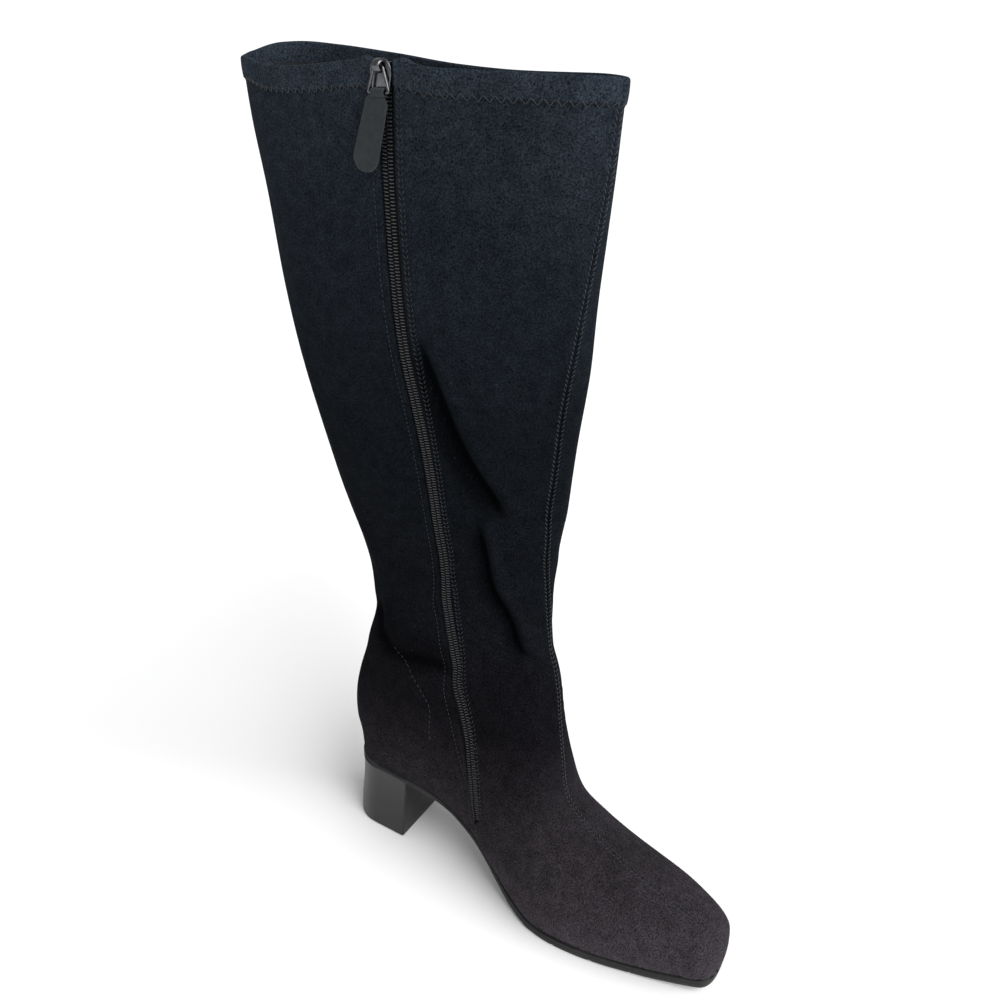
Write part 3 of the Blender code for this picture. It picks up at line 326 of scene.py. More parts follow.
# Sewing, in metres
HEM_STITCH_DROP = 0.0103
HEM_STITCH_STEP = 0.0025
HEM_STITCH_HALF = 0.0013
HEM_STITCH_CLEAR = 0.0016
SEAM_STITCH_STEP = 0.0026
SEAM_STITCH_PLACE = 0.0013
SEAM_STITCH_HALF = 0.00055
ZIP_STITCH_BACK = -0.0082
ZIP_STITCH_FRONT = 0.0074
ZIP_ROWS = (
    (ZIP_STITCH_BACK, ((-0.0009, 0.0, 0.0009, 0.0002),)),
    (ZIP_STITCH_FRONT, ((-0.0009, -0.0014, 0.0006, -0.0004), (-0.0009, 0.0014, 0.0006, 0.0004))),
)
DASH = ((-0.0011, 0.0, 0.0011, 0.0),)
COUNTER_STITCH_STEP = 0.0034
THREAD_RADIUS = 0.00021
TOOTH_PITCH = 0.0016
TOOTH_INNER = 0.00035
TOOTH_OUTER = 0.0029
TOOTH_RADIUS = 0.00045
TOOTH_DEPTH = 0.0014
HORN_PLACES = (-0.0090, 0.0100)
HORN_WIDTH = 0.0036
HORN_HEIGHT = 0.0016
HORN_FADE = 0.012

# Camera, fitted to the photo's outlines, and its turn in degrees to centre the one boot
CAMERA_PLACE = (0.27015, -0.3623, 0.4447)
CAMERA_HEADING = 40.78
CAMERA_PITCH = 25.37
CAMERA_ROLL = -1.94
CAMERA_TURN = (-10.7, 0.3)
CAMERA_LENS = 30.8
SENSOR = 36.0

FLOOR_HEIGHT = -0.0003
FLOOR_SIZE = 60.0
SKY_SHOWN = 1.1
SKY_LIGHT = 0.40

# Lights: name, kind, place, energy, and the far one's angle or the near one's width
LIGHTS = (
    ("key", "SUN", (0.95, -0.15, 1.05), 3.6, 55.0),
    ("window", "AREA", (0.55, -1.0, 0.95), 1.3, 0.30),
)
LIGHT_AIM = (0.05, 0.0, 0.22)


def slopes(xs, ys):
    """Tangents that keep a curve through a table free of overshoot."""
    steps = np.diff(ys) / np.diff(xs)
    out = np.zeros(len(xs))
    out[0], out[-1] = steps[0], steps[-1]
    for i in range(1, len(xs) - 1):
        if steps[i - 1] * steps[i] > 0:
            out[i] = 2 * steps[i - 1] * steps[i] / (steps[i - 1] + steps[i])
    return out


def curve(table, column=1):
    """A smooth curve through a table's column, as a function of arrays."""
    xs = np.array([row[0] for row in table], float)
    ys = np.array([row[column] for row in table], float)
    tangents = slopes(xs, ys)

    def at(x):
        x = np.clip(x, xs[0], xs[-1])
        i = np.clip(np.searchsorted(xs, x, side="right") - 1, 0, len(xs) - 2)
        width = xs[i + 1] - xs[i]
        t = (x - xs[i]) / width
        ends = ys[i] * (2 * t**3 - 3 * t**2 + 1) + ys[i + 1] * (3 * t**2 - 2 * t**3)
        bend = tangents[i] * (t**3 - 2 * t**2 + t) + tangents[i + 1] * (t**3 - t**2)
        return ends + width * bend
    return at


def side_of(v):
    """Way round a section from the back, the same on both sides."""
    v = np.asarray(v, float) % 1.0
    return np.round(np.minimum(v, 1 - v), 9)


def smooth(x):
    """Rises smoothly from 0 to 1 as x does."""
    x = np.clip(x, 0.0, 1.0)
    return x * x * (3 - 2 * x)


def hump(distance, width):
    """1 at no distance, falling away over the width."""
    return np.exp(-(distance / width) ** 2)


arch_rise = curve(ARCH)
sole_half_medial = curve(SOLE_OUTLINE, 1)
sole_half_lateral = curve(SOLE_OUTLINE, 2)
sole_thickness = curve(SOLE_THICKNESS)
rim_rise = curve(RIM)
front_seam = curve(FRONT_SEAM)


def sole_under(x):
    """Height of the sole's underside at x from the back of the foot."""
    x = np.asarray(x, float)
    toe = TOE_SPRING * (np.maximum(x - FLAT_END, 0.0) / (FOOT_LENGTH - FLAT_END)) ** 2
    return np.where(x < FLAT_START, HEEL_HEIGHT * arch_rise(x / FOOT_LENGTH), toe)


def sole_top(x):
    """Height of the outsole's upper face."""
    share = sole_thickness(np.asarray(x, float) / FOOT_LENGTH)
    return sole_under(x) + SEAT_EDGE + (SOLE_EDGE - SEAT_EDGE) * share


def sole_half(x, side):
    """Half width of the sole at x. Side -1 is medial, 1 lateral."""
    x = np.asarray(x, float)
    share = x / FOOT_LENGTH
    half = BALL_WIDTH * np.where(np.asarray(side) < 0, sole_half_medial(share), sole_half_lateral(share))
    t = np.clip((SEAT_INSET + SEAT_ROUND - x) / SEAT_ROUND, 0.0, 1.0)
    half = half * (1 - t**SEAT_POWER) ** (1 / SEAT_POWER)
    t = np.clip((x - FOOT_LENGTH + TOE_ROUND) / TOE_ROUND, 0.0, 1.0)
    return half * (1 - t**TOE_POWER) ** (1 / TOE_POWER)


def key_sections():
    """Every section of the upper in metres, as one array for each measure."""
    rows = []
    for values in FOOT_SECTIONS:
        row = dict(zip(FOOT_COLUMNS, values))
        base = float(sole_top(FOOT_LENGTH * row["low_x"])) + FIT_GAP
        for end in ("low", "top"):
            row[end + "_x"] *= FOOT_LENGTH
            row[end + "_z"] = base + ANKLE_RISE * row[end + "_rise"]
        for side in ("medial", "lateral"):
            row[side] *= BALL_WIDTH
        row["on_sole"] = row["low_rise"] == 0.0
        rows.append(row)
    ankle = rows[-1]
    collar = {"low_x": -COLLAR_BACK, "low_z": TOTAL_HEIGHT, "top_x": COLLAR_FRONT, "top_z": TOTAL_HEIGHT,
              "medial": COLLAR_HALF_WIDTH, "lateral": COLLAR_HALF_WIDTH}
    for values in SHAFT_SECTIONS:
        row = dict(zip(SHAFT_COLUMNS, values), on_sole=False)
        for name, end in collar.items():
            row[name] = ankle[name] + (end - ankle[name]) * row[name]
        rows.append(row)
    table = {name: np.array([row[name] for row in rows], float) for name in rows[-1]}
    table["low_y"] *= BALL_WIDTH
    table["top_y"] *= BALL_WIDTH
    return table


SECTIONS = key_sections()
COLLAR_U = len(SECTIONS["zip"]) - 1.0


def turn_at(row, v):
    """Angle round a section, 0 at its lower end and pi at its ridge, at place v."""
    side = side_of(v)
    bottom = np.where(row["on_sole"] > 0, 0.0, 2 * math.pi * BOTTOM_V)
    share, widest = row["zip"], row["widest"]
    under = np.arccos(np.clip(1 - share / widest, 0, 1) ** (row["low_power"] / 2))
    over = np.arccos(-np.clip((share - widest) / (1 - widest), 0, 1) ** (row["top_power"] / 2))
    at_zip = np.where(share < widest, under, over)
    behind = bottom + (at_zip - bottom) * (side - BOTTOM_V) / (ZIP_V - BOTTOM_V)
    before = at_zip + (math.pi - at_zip) * (side - ZIP_V) / (FRONT_V - ZIP_V)
    lateral = bottom + (math.pi - bottom) * (side - BOTTOM_V) / (FRONT_V - BOTTOM_V)
    turn = np.where(v > FRONT_V, lateral, np.where(side < ZIP_V, behind, before))
    return np.where(side < BOTTOM_V, bottom * side / BOTTOM_V, turn)


def section_points(index, v):
    """Points of the upper's outer face on whole sections."""
    row = {name: values[index] for name, values in SECTIONS.items()}
    side = np.where(v <= FRONT_V, -1.0, 1.0)
    place = side_of(v)
    low_x = row["low_x"]
    on_sole = row["on_sole"] > 0
    edge = np.where(on_sole, sole_half(low_x, side) - SOLE_LEDGE, 0.0)
    turn = turn_at(row, v)
    width = np.where(side < 0, row["medial"], row["lateral"])
    sine = np.clip(np.sin(turn), 0.0, 1.0)
    cosine = np.cos(turn)
    reach = np.abs(cosine)
    low, top = 2 / row["low_power"], 2 / row["top_power"]
    widest = row["widest"]
    share = np.where(cosine > 0, widest * (1 - reach**low), widest + (1 - widest) * reach**top)
    half = np.where(cosine > 0, edge + (width - edge) * sine**low, width * sine**top)
    x = low_x + (row["top_x"] - low_x) * share
    y = side * half + row["low_y"] + (row["top_y"] - row["low_y"]) * share
    z = row["low_z"] + (row["top_z"] - row["low_z"]) * share
    seat = on_sole & (place < BOTTOM_V)
    turn = math.pi / 2 * place / BOTTOM_V
    reach = np.clip(np.cos(turn), 0, 1) ** SEAT_PLAN_POWER
    seat_x = low_x - (low_x - SEAT_INSET - SOLE_LEDGE) * reach
    seat_half = np.maximum(sole_half(seat_x - SOLE_LEDGE / 2, side) - SOLE_LEDGE / 2, 0.0)
    filled = edge * np.clip(np.sin(turn), 0, 1) ** SEAT_FILL_POWER
    seat_half = np.where(seat_half == 0, filled, np.minimum(seat_half, edge))
    return np.stack((np.where(seat, seat_x, x), np.where(seat, side * seat_half, y),
                     np.where(seat, row["low_z"], z)), axis=-1)


def outer_points(u, v):
    """Points of the upper's outer face between its sections, in the frame."""
    u, v = np.broadcast_arrays(np.asarray(u, float), np.asarray(v, float) % 1.0)
    side = side_of(v)
    last = len(SECTIONS["zip"]) - 1
    first = np.where(side < BOTTOM_V, HEEL_RING, 0)
    i = np.clip(np.floor(u).astype(int), first, last - 1)
    t = (u - i)[..., None]
    b, c = section_points(i, v), section_points(i + 1, v)
    before = section_points(np.maximum(i - 1, 0), v)
    after = section_points(np.minimum(i + 2, last), v)
    joined = np.where(i > first, 1.0, 0.0)
    joined = np.where((i == HEEL_RING) & (side >= BOTTOM_V), smooth((side - BOTTOM_V) / HEEL_BLEND), joined)
    a = (2 * b - c) + (before - 2 * b + c) * joined[..., None]
    d = np.where((i + 2 <= last)[..., None], after, 2 * c - b)
    points = 0.5 * (2 * b + (c - a) * t + (2 * a - 5 * b + 4 * c - d) * t**2
                    + (3 * b - a - 3 * c + d) * t**3)
    feather = (u <= HEEL_RING) & (side <= BOTTOM_V)
    points[..., 2] = np.where(feather, sole_top(points[..., 0]) + FIT_GAP, points[..., 2])
    points[..., 2] += HEM_HEIGHT * rim_rise(v) * smooth((u - COLLAR_U + RIM_FADE) / RIM_FADE)
    points[..., 0] -= HEEL_MIDDLE
    return points


def unit(vectors):
    """Vectors of length one."""
    return vectors / np.maximum(np.linalg.norm(vectors, axis=-1, keepdims=True), 1e-12)


def outward(u, v):
    """Normals of the outer face, pointing out of the boot."""
    u, v = np.broadcast_arrays(np.asarray(u, float), np.asarray(v, float))
    on_foot = u < HEEL_RING
    low_v, high_v = v - NORMAL_STEP_V, v + NORMAL_STEP_V
    low_v = np.where(on_foot, np.maximum(low_v, BOTTOM_V), low_v)
    high_v = np.where(on_foot, np.minimum(high_v, 1 - BOTTOM_V), high_v)
    low_u = np.maximum(u - NORMAL_STEP_U, np.where(side_of(v) < BOTTOM_V, HEEL_RING, 0.0))
    across = outer_points(u, high_v) - outer_points(u, low_v)
    up = outer_points(np.minimum(u + NORMAL_STEP_U, COLLAR_U), v) - outer_points(low_u, v)
    return unit(np.cross(across, up))


SAMPLED_U = np.linspace(0.0, COLLAR_U, 311)
SAMPLED_V = np.linspace(0.0, 1.0, 201)
SPEED_STEP = 0.004
RIM_STEP = 0.4


def speed_round(v):
    """Metres round the boot for one whole unit of v, sampled along u."""
    change = outer_points(SAMPLED_U, v + SPEED_STEP) - outer_points(SAMPLED_U, v - SPEED_STEP)
    return np.linalg.norm(change, axis=-1) / (2 * SPEED_STEP)


ZIP_SPEEDS = speed_round(np.full_like(SAMPLED_U, ZIP_V))
SEAM_SPEEDS = speed_round(front_seam(SAMPLED_U))
RIM_CHANGE = outer_points(COLLAR_U, SAMPLED_V) - outer_points(COLLAR_U - RIM_STEP, SAMPLED_V)
RIM_SPEEDS = np.linalg.norm(RIM_CHANGE, axis=-1) / RIM_STEP


def zip_speed(u):
    """Metres round the boot for one whole unit of v at the zip."""
    return np.interp(u, SAMPLED_U, ZIP_SPEEDS)


def seam_speed(u):
    """Metres round the boot for one whole unit of v at the front seam."""
    return np.interp(u, SAMPLED_U, SEAM_SPEEDS)


def rim_speed(v):
    """Metres up the boot for one unit of u, just under the rim."""
    return np.interp(np.asarray(v) % 1.0, SAMPLED_V, RIM_SPEEDS)


def places_on(line, count):
    """Places along a given line of (u, v), on a smooth curve."""
    steps = list(enumerate(line))
    at = np.linspace(0, len(line) - 1, count)
    us = curve([(k, place[0]) for k, place in steps])(at)
    vs = curve([(k, place[1]) for k, place in steps])(at)
    return us, vs


def fold_frames():
    """Each fold's line in space, with its directions and sizes."""
    out = []
    for values in FOLDS:
        row = dict(zip(FOLD_COLUMNS, values))
        u, v = places_on(row["line"], FOLD_SAMPLES)
        points = outer_points(u, v)
        along = unit(np.gradient(points, axis=0))
        row.update(points=points, along=along, side=np.cross(outward(u, v), along))
        out.append(row)
    return out


FOLD_FRAMES = fold_frames()


def fold_field(points):
    """Height of the main folds at points, and how much painted shade each point gets in or beside a trough.
    """
    flat = points.reshape(-1, 3)
    height, shade = np.zeros(len(flat)), np.zeros(len(flat))
    for fold in FOLD_FRAMES:
        line = fold["points"]
        squares = (flat**2).sum(1)[:, None] - 2 * flat @ line.T + (line**2).sum(1)[None]
        nearest = squares.argmin(1)
        away = flat - line[nearest]
        along = (away * fold["along"][nearest]).sum(1)
        gap = np.sqrt(np.maximum((away**2).sum(1) - along**2, 0.0))
        gap *= np.sign((away * fold["side"][nearest]).sum(1))
        share = nearest / (FOLD_SAMPLES - 1)
        fade = smooth(share / FOLD_FADE) * smooth((1 - share) / FOLD_FADE)
        trough = fade * fold["depth"] * hump(gap, fold["width"])
        ridge = fade * fold["ridge"] * hump(gap - fold["ridge_place"], fold["ridge_width"])
        height += ridge - trough
        beside = max(abs(fold["ridge_place"]), fold["width"])
        # A broader painted shade on the side away from the ridge
        soft = fade * fold["depth"] * hump(gap + FOLD_SIDE_SHADE_SHARE * fold["ridge_place"], beside)
        shade = np.maximum(shade, np.maximum(trough, FOLD_SIDE_SHADE_SHARE * soft))
    return height.reshape(points.shape[:-1]), shade.reshape(points.shape[:-1])


def folds(points, u, v):
    """Height of the folds and ripples above the plain surface."""
    height = fold_field(points)[0]
    slack = TAUT_SLACK + (1 - TAUT_SLACK) * smooth((u - TAUT_U) / TAUT_FADE)
    for around, along, phase, tall in RIPPLES:
        height = height + slack * tall * np.sin(2 * math.pi * (around * v + along * u) + phase)
    free = np.maximum((side_of(v) - BOTTOM_V) / FOLD_FREE_V, (u - HEEL_RING) / FOLD_FREE_U)
    return height * smooth(free)


def details(u, v):
    """Height of the hem, the slot's edges and the seams above the folded surface."""
    def raised(distance, size):
        return size[0] * hump(distance, size[1])
    below_rim = (COLLAR_U - u) * rim_speed(v)
    height = HEM_STEP * smooth((HEM_HEIGHT + HEM_LAP - below_rim) / HEM_SLOPE)
    height = height + HEM_SWELL * np.sin(math.pi * np.clip(below_rim / HEM_HEIGHT, 0, 1))
    height = height - raised(below_rim - HEM_STITCH_DROP, HEM_GROOVE)
    from_seam = (v - front_seam(u)) * seam_speed(u)
    seam = raised(from_seam - SEAM_SWELL_PLACE, SEAM_SWELL) - raised(from_seam, SEAM_GROOVE)
    seam = seam + raised(from_seam + SEAM_SWELL_PLACE, SEAM_SWELL)
    height = height + seam * (SEAM_ON_FOOT + (1 - SEAM_ON_FOOT) * smooth((u - TAUT_U) / SEAM_FADE))
    from_zip = (v - ZIP_V) * zip_speed(u)
    slot = -raised(np.abs(from_zip) - SLOT_WIDTH / 2, SLOT_GROOVE)
    for place in (ZIP_STITCH_BACK, ZIP_STITCH_FRONT):
        slot = slot - raised(from_zip - place, ZIP_GROOVE)
        slot = slot + raised(from_zip - ZIP_SWELL_SHARE * place, ZIP_SWELL)
    return height + slot * smooth((u - SLOT_BOTTOM + SLOT_LEAD) / SLOT_FADE)


def horns(u, v):
    """Rise of the rim at the turned-in ends beside the slider."""
    below_rim = (COLLAR_U - u) * rim_speed(v)
    from_zip = (v - ZIP_V) * zip_speed(u)
    rise = sum(hump(from_zip - place, HORN_WIDTH) for place in HORN_PLACES)
    return HORN_HEIGHT * rise * smooth(1 - below_rim / HORN_FADE)


def skin(u, v, lift=0.0):
    """Points of the finished outer face, lifted off it, and its normals."""
    u, v = np.broadcast_arrays(np.asarray(u, float), np.asarray(v, float))
    points, normals = outer_points(u, v), outward(u, v)
    height = folds(points, u, v) + details(u, v) + lift
    out = points + normals * height[..., None]
    out[..., 2] += horns(u, v)
    return out, normals


def under_skin(u, v, depth):
    """Points at a depth inside the folded surface, without its seams."""
    u, v = np.broadcast_arrays(np.asarray(u, float), np.asarray(v, float))
    points, normals = outer_points(u, v), outward(u, v)
    return points + normals * (folds(points, u, v) - depth)[..., None], normals


WELD = 1e-6
THINNEST = 1e-7


def finished(work, mesh, sharp=40.0):
    """The mesh, taken out of its bmesh, smooth but for edges past an angle."""
    work.to_mesh(mesh)
    work.free()
    mesh.shade_smooth()
    mesh.set_sharp_from_angle(angle=math.radians(sharp))
    return mesh


class Sheet:
    """Points and faces of a mesh that is put together strip by strip."""

    def __init__(self):
        self.points = []
        self.painted_light_and_shade_values = []
        self.faces = []
        self.count = 0

    def add(self, points, tone=0.0):
        """Adds points and returns their numbers, in the same arrangement."""
        flat = np.asarray(points, float).reshape(-1, 3)
        self.points.append(flat)
        self.painted_light_and_shade_values.append(np.broadcast_to(tone, np.shape(points)[:-1]).ravel())
        numbers = np.arange(self.count, self.count + len(flat))
        self.count += len(flat)
        return numbers.reshape(np.shape(points)[:-1])

    def strip(self, numbers, keep=None):
        """Joins a grid of point numbers. Keep says which of its cells are there."""
        cells = np.stack((numbers[:-1, :-1], numbers[:-1, 1:], numbers[1:, 1:], numbers[1:, :-1]), axis=-1)
        if keep is not None:
            cells = cells[keep]
        self.faces.extend(cells.reshape(-1, 4).tolist())

    def mesh(self, name, sharp=60.0):
        """The finished mesh, welded and smooth."""
        made = bpy.data.meshes.new(name)
        made.from_pydata(np.concatenate(self.points).tolist(), [], self.faces)
        # Each point's painted light and shade goes on the mesh for the fabric to read
        made.attributes.new("tone", "FLOAT", "POINT")
        made.attributes["tone"].data.foreach_set("value", np.concatenate(self.painted_light_and_shade_values).astype(np.float32))
        work = bmesh.new()
        work.from_mesh(made)
        bmesh.ops.remove_doubles(work, verts=work.verts, dist=WELD)
        loose = [point for point in work.verts if not point.link_faces]
        bmesh.ops.delete(work, geom=loose, context="VERTS")
        return finished(work, made, sharp)


def piece(name, mesh, finish, body="boot", stands_for=()):
    """A mesh as a piece of the boot, riding on a body."""
    made = bpy.data.objects.new(name, mesh)
    bpy.context.scene.collection.objects.link(made)
    mesh.materials.clear()
    mesh.materials.append(finish)
    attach(made, body)
    if stands_for:
        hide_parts(*stands_for)


def tube_sheet(paths, normals, radii, sides=6, closed=False):
    """Round bars along many paths of equal length, as one sheet."""
    step = np.roll(paths, -1, 1) - np.roll(paths, 1, 1) if closed else np.gradient(paths, axis=1)
    along = unit(step)
    side = unit(np.cross(normals, along))
    up = np.cross(along, side)
    turns = np.linspace(0, 2 * math.pi, sides + 1)
    radii = np.asarray(radii, float)[None, :, None, None]
    rings = paths[:, :, None] + radii * (np.cos(turns)[None, None, :, None] * side[:, :, None]
                                         + np.sin(turns)[None, None, :, None] * up[:, :, None])
    sheet = Sheet()
    numbers = sheet.add(rings)
    for bar in numbers:
        grid = np.concatenate((bar, bar[:1])) if closed else bar
        sheet.strip(grid)
        if not closed:
            sheet.faces.append(bar[0, :-1][::-1].tolist())
            sheet.faces.append(bar[-1, :-1].tolist())
    return sheet


def lengths_along(line):
    """Distance of each point of a line from the first."""
    return np.concatenate(([0.0], np.cumsum(np.linalg.norm(np.diff(line, axis=0), axis=1))))


def even_places(us, vs, step):
    """Places at even steps along a line on the boot."""
    lengths = lengths_along(outer_points(us, vs))
    at = np.linspace(0.0, lengths[-1], max(int(round(lengths[-1] / step)), 2) + 1)
    return np.interp(at, lengths, us), np.interp(at, lengths, vs)


LEG_SHARES = np.linspace(0, 1, 5)
STITCH_RADII = np.array((0.7, 0.95, 1.0, 0.95, 0.7))
STITCH_LIFTS = np.array((-0.85, 0.35, 0.35, 0.35, -0.85)) + 0.75 * np.sin(math.pi * LEG_SHARES)
REACH_U = 0.02
REACH_V = 0.001


def leg_places(legs):
    """Places along and across on legs of (start along, start across, end along, end across)."""
    legs = np.asarray(legs, float)
    ahead = legs[..., 0:1] + (legs[..., 2:3] - legs[..., 0:1]) * LEG_SHARES
    across = legs[..., 1:2] + (legs[..., 3:4] - legs[..., 1:2]) * LEG_SHARES
    return ahead, across


def bars(frames, legs, radius, arch, sides=6, taper=0.6):
    """Short bars at every frame, one for each leg."""
    points, along, side, normals = frames
    ahead, across = leg_places(legs)
    bend = np.sin(math.pi * LEG_SHARES)
    paths = (points[:, None, None] + ahead[..., None] * along[:, None, None]
             + across[..., None] * side[:, None, None]
             + arch * bend[None, None, :, None] * normals[:, None, None])
    bar_normals = np.repeat(normals, len(legs), axis=0)[:, None].repeat(len(bend), 1)
    radii = radius * (taper + (1 - taper) * bend ** 0.5)
    return tube_sheet(paths.reshape(-1, len(bend), 3), bar_normals, radii, sides)


def sewn(us, vs, step, legs, radius=THREAD_RADIUS):
    """Stitches at even steps along a line on the skin, laid on it and sunk at their ends.

    Each stitch is a list of legs, and several such lists are used in turn.
    """
    u, v = even_places(us, vs, step)
    along = unit(np.gradient(outer_points(u, v), axis=0))
    side = np.cross(outward(u, v), along)
    ahead, across = leg_places([legs[k % len(legs)] for k in range(len(u))])
    wanted = ahead[..., None] * along[:, None, None] + across[..., None] * side[:, None, None]
    by_u = (outer_points(u + REACH_U, v) - outer_points(u - REACH_U, v)) / (2 * REACH_U)
    by_v = (outer_points(u, v + REACH_V) - outer_points(u, v - REACH_V)) / (2 * REACH_V)
    uu, vv, uv = ((first * second).sum(1)[:, None, None]
                  for first, second in ((by_u, by_u), (by_v, by_v), (by_u, by_v)))
    in_u = (wanted * by_u[:, None, None]).sum(-1)
    in_v = (wanted * by_v[:, None, None]).sum(-1)
    whole = uu * vv - uv**2
    spots_u = u[:, None, None] + (in_u * vv - in_v * uv) / whole
    spots_v = v[:, None, None] + (in_v * uu - in_u * uv) / whole
    paths, normals = skin(spots_u, spots_v, np.broadcast_to(radius * STITCH_LIFTS, spots_u.shape))
    bends = len(LEG_SHARES)
    return tube_sheet(paths.reshape(-1, bends, 3), normals.reshape(-1, bends, 3), radius * STITCH_RADII)


class Finish:
    """A material and short ways to add its nodes."""

    def __init__(self, name, roughness, specular=0.5, **inputs):
        self.material = bpy.data.materials.new(name)
        self.material.use_nodes = True
        self.nodes = self.material.node_tree.nodes
        self.links = self.material.node_tree.links
        self.surface = self.nodes["Principled BSDF"]
        self.surface.inputs["Roughness"].default_value = roughness
        self.surface.inputs["Specular IOR Level"].default_value = specular
        for key, value in inputs.items():
            self.surface.inputs[key.replace("_", " ").title()].default_value = value
        self.place = self.node("TexCoord").outputs["Object"]

    def node(self, kind, inputs=None):
        """A new node with its inputs set to values or linked to outputs."""
        made = self.nodes.new("ShaderNode" + kind)
        for key, value in (inputs or {}).items():
            if isinstance(value, bpy.types.NodeSocket):
                self.links.new(value, made.inputs[key])
            else:
                made.inputs[key].default_value = value
        return made

    def stretched(self, scale):
        """Coordinates scaled unevenly."""
        return self.node("Mapping", {"Vector": self.place, "Scale": scale}).outputs["Vector"]

    def noise(self, scale, detail=2.0, roughness=0.5, place=None):
        """Noise with so many waves a metre."""
        inputs = {"Vector": place or self.place, "Scale": scale, "Detail": detail, "Roughness": roughness}
        return self.node("TexNoise", inputs).outputs["Fac"]

    def span(self, value, low, high, to_low=0.0, to_high=1.0):
        """A value carried from one range to another."""
        inputs = {"Value": value, "From Min": low, "From Max": high, "To Min": to_low, "To Max": to_high}
        return self.node("MapRange", inputs).outputs["Result"]

    def varied(self, noise, low, high):
        """Noise carried to a range, from the middle part of its own."""
        return self.span(noise, 0.3, 0.7, low, high)

    def math(self, operation, a, b):
        """A product or quotient of two values."""
        node = self.node("Math", {0: a, 1: b})
        node.operation = operation
        return node.outputs[0]

    def tone(self):
        """Light and shade painted on the mesh: a painted sheen on the hem and painted shade in the folds."""
        node = self.node("Attribute")
        node.attribute_name = "tone"
        return node.outputs["Fac"]

    def height(self):
        """Height above the floor."""
        return self.node("SeparateXYZ", {0: self.place}).outputs["Z"]

    def ramp(self, value, stops):
        """Colours at places of a value."""
        node = self.node("ValToRGB", {0: value})
        band = node.color_ramp.elements
        while len(band) < len(stops):
            band.new(1.0)
        for element, (at, colour) in zip(band, stops):
            element.position = at
            element.color = (*colour, 1.0)
        return node.outputs["Color"]

    def scaled(self, colour, amount):
        """A colour made brighter or darker by a value."""
        node = self.node("VectorMath", {0: colour})
        node.operation = "SCALE"
        self.links.new(amount, node.inputs["Scale"])
        return node.outputs["Vector"]

    def mix(self, share, first, second):
        """A colour mixed with a plain one by a share."""
        node = self.node("Mix")
        node.data_type = "RGBA"
        node.inputs[7].default_value = (*second, 1.0)
        self.links.new(share, node.inputs[0])
        self.links.new(first, node.inputs[6])
        return node.outputs[2]

    def feed(self, key, value):
        """Links an output to one of the surface's inputs."""
        self.links.new(value, self.surface.inputs[key])

    def bump(self, height, strength, distance):
        """Roughens the surface by a height."""
        node = self.node("Bump", {"Strength": strength, "Distance": distance, "Height": height})
        before = self.surface.inputs["Normal"]
        if before.is_linked:
            self.links.new(before.links[0].from_socket, node.inputs["Normal"])
        self.feed("Normal", node.outputs["Normal"])


# Colour of the fabric at shares of the boot's height: its tint, browner on the foot and bluish up the shaft,
# with painted light on the foot and the top and painted shade from the ankle to the middle of the shaft
FABRIC_COLOUR_WITH_PAINTED_LIGHT = (
    (0.00, (0.0480, 0.0415, 0.0480)),
    (0.09, (0.0230, 0.0200, 0.0235)),
    (0.24, (0.0050, 0.0045, 0.0058)),
    (0.40, (0.0043, 0.0051, 0.0066)),
    (0.62, (0.0050, 0.0064, 0.0083)),
    (0.85, (0.0090, 0.0115, 0.0155)),
    (1.00, (0.0165, 0.0213, 0.0285)),
)


def stretch_fabric():
    """Black napped stretch fabric with lint, bluish up the shaft and browner on the foot, with painted light
    and shade by height, a painted sheen on the hem and painted shade in the folds.
    """
    made = Finish("stretch_fabric", 0.95, 0.015, sheen_weight=0.008, sheen_roughness=0.5)
    made.surface.inputs["Sheen Tint"].default_value = (0.62, 0.74, 0.95, 1.0)
    tall = made.math("DIVIDE", made.height(), TOTAL_HEIGHT)
    nap = made.noise(1250.0, 3.0, 0.7)
    patches = made.noise(160.0, 3.0)
    broad = made.noise(16.0, 2.0)
    amount = made.varied(nap, 0.05, 2.1)
    # Painted sheen lightens the hem and painted shade darkens the fold troughs
    amount = made.math("MULTIPLY", amount, made.span(made.tone(), -1.0, 1.0, 0.15, 1.85))
    amount = made.math("MULTIPLY", amount, made.varied(patches, 0.80, 1.20))
    amount = made.math("MULTIPLY", amount, made.varied(broad, 0.85, 1.15))
    lint = made.span(made.noise(820.0, 1.0), 0.735, 0.80, 0.0, 0.5)
    # The height ramp paints light on the foot and the top and shade from the ankle to the middle of the
    # shaft
    base = made.scaled(made.ramp(tall, FABRIC_COLOUR_WITH_PAINTED_LIGHT), amount)
    made.feed("Base Color", made.mix(lint, base, (0.045, 0.047, 0.052)))
    made.bump(nap, 0.7, 0.0006)
    made.bump(patches, 0.25, 0.0012)
    return made.material


# Weaves: roughness, colour, waves a metre, detail, stretch, darkest and lightest, bump
WEAVES = {
    "insole_lining": (0.85, (0.018, 0.019, 0.022), 700.0, 2.0, (1.0, 1.0, 0.25), (0.7, 1.3), (0.4, 0.0004)),
    "zip_tape_weave": (0.8, (0.0065, 0.007, 0.0085), 1800.0, 1.0, (1.0, 1.0, 0.5), (0.6, 1.4),
                       (0.5, 0.0003)),
}
THREADS = {
    "sewing_thread": (0.026, 0.031, 0.035),
    "zip_thread": (0.015, 0.018, 0.021),
    "foot_thread": (0.014, 0.014, 0.016),
    "tab_thread": (0.040, 0.047, 0.050),
}


def woven(name):
    """Knitted lining or woven tape, with its ribs."""
    roughness, colour, waves, detail, stretch, shades, bump = WEAVES[name]
    made = Finish(name, roughness, 0.1, sheen_weight=0.03)
    rib = made.noise(waves, detail, 0.5, made.stretched(stretch))
    made.feed("Base Color", made.scaled(colour, made.varied(rib, *shades)))
    made.bump(rib, *bump)
    return made.material


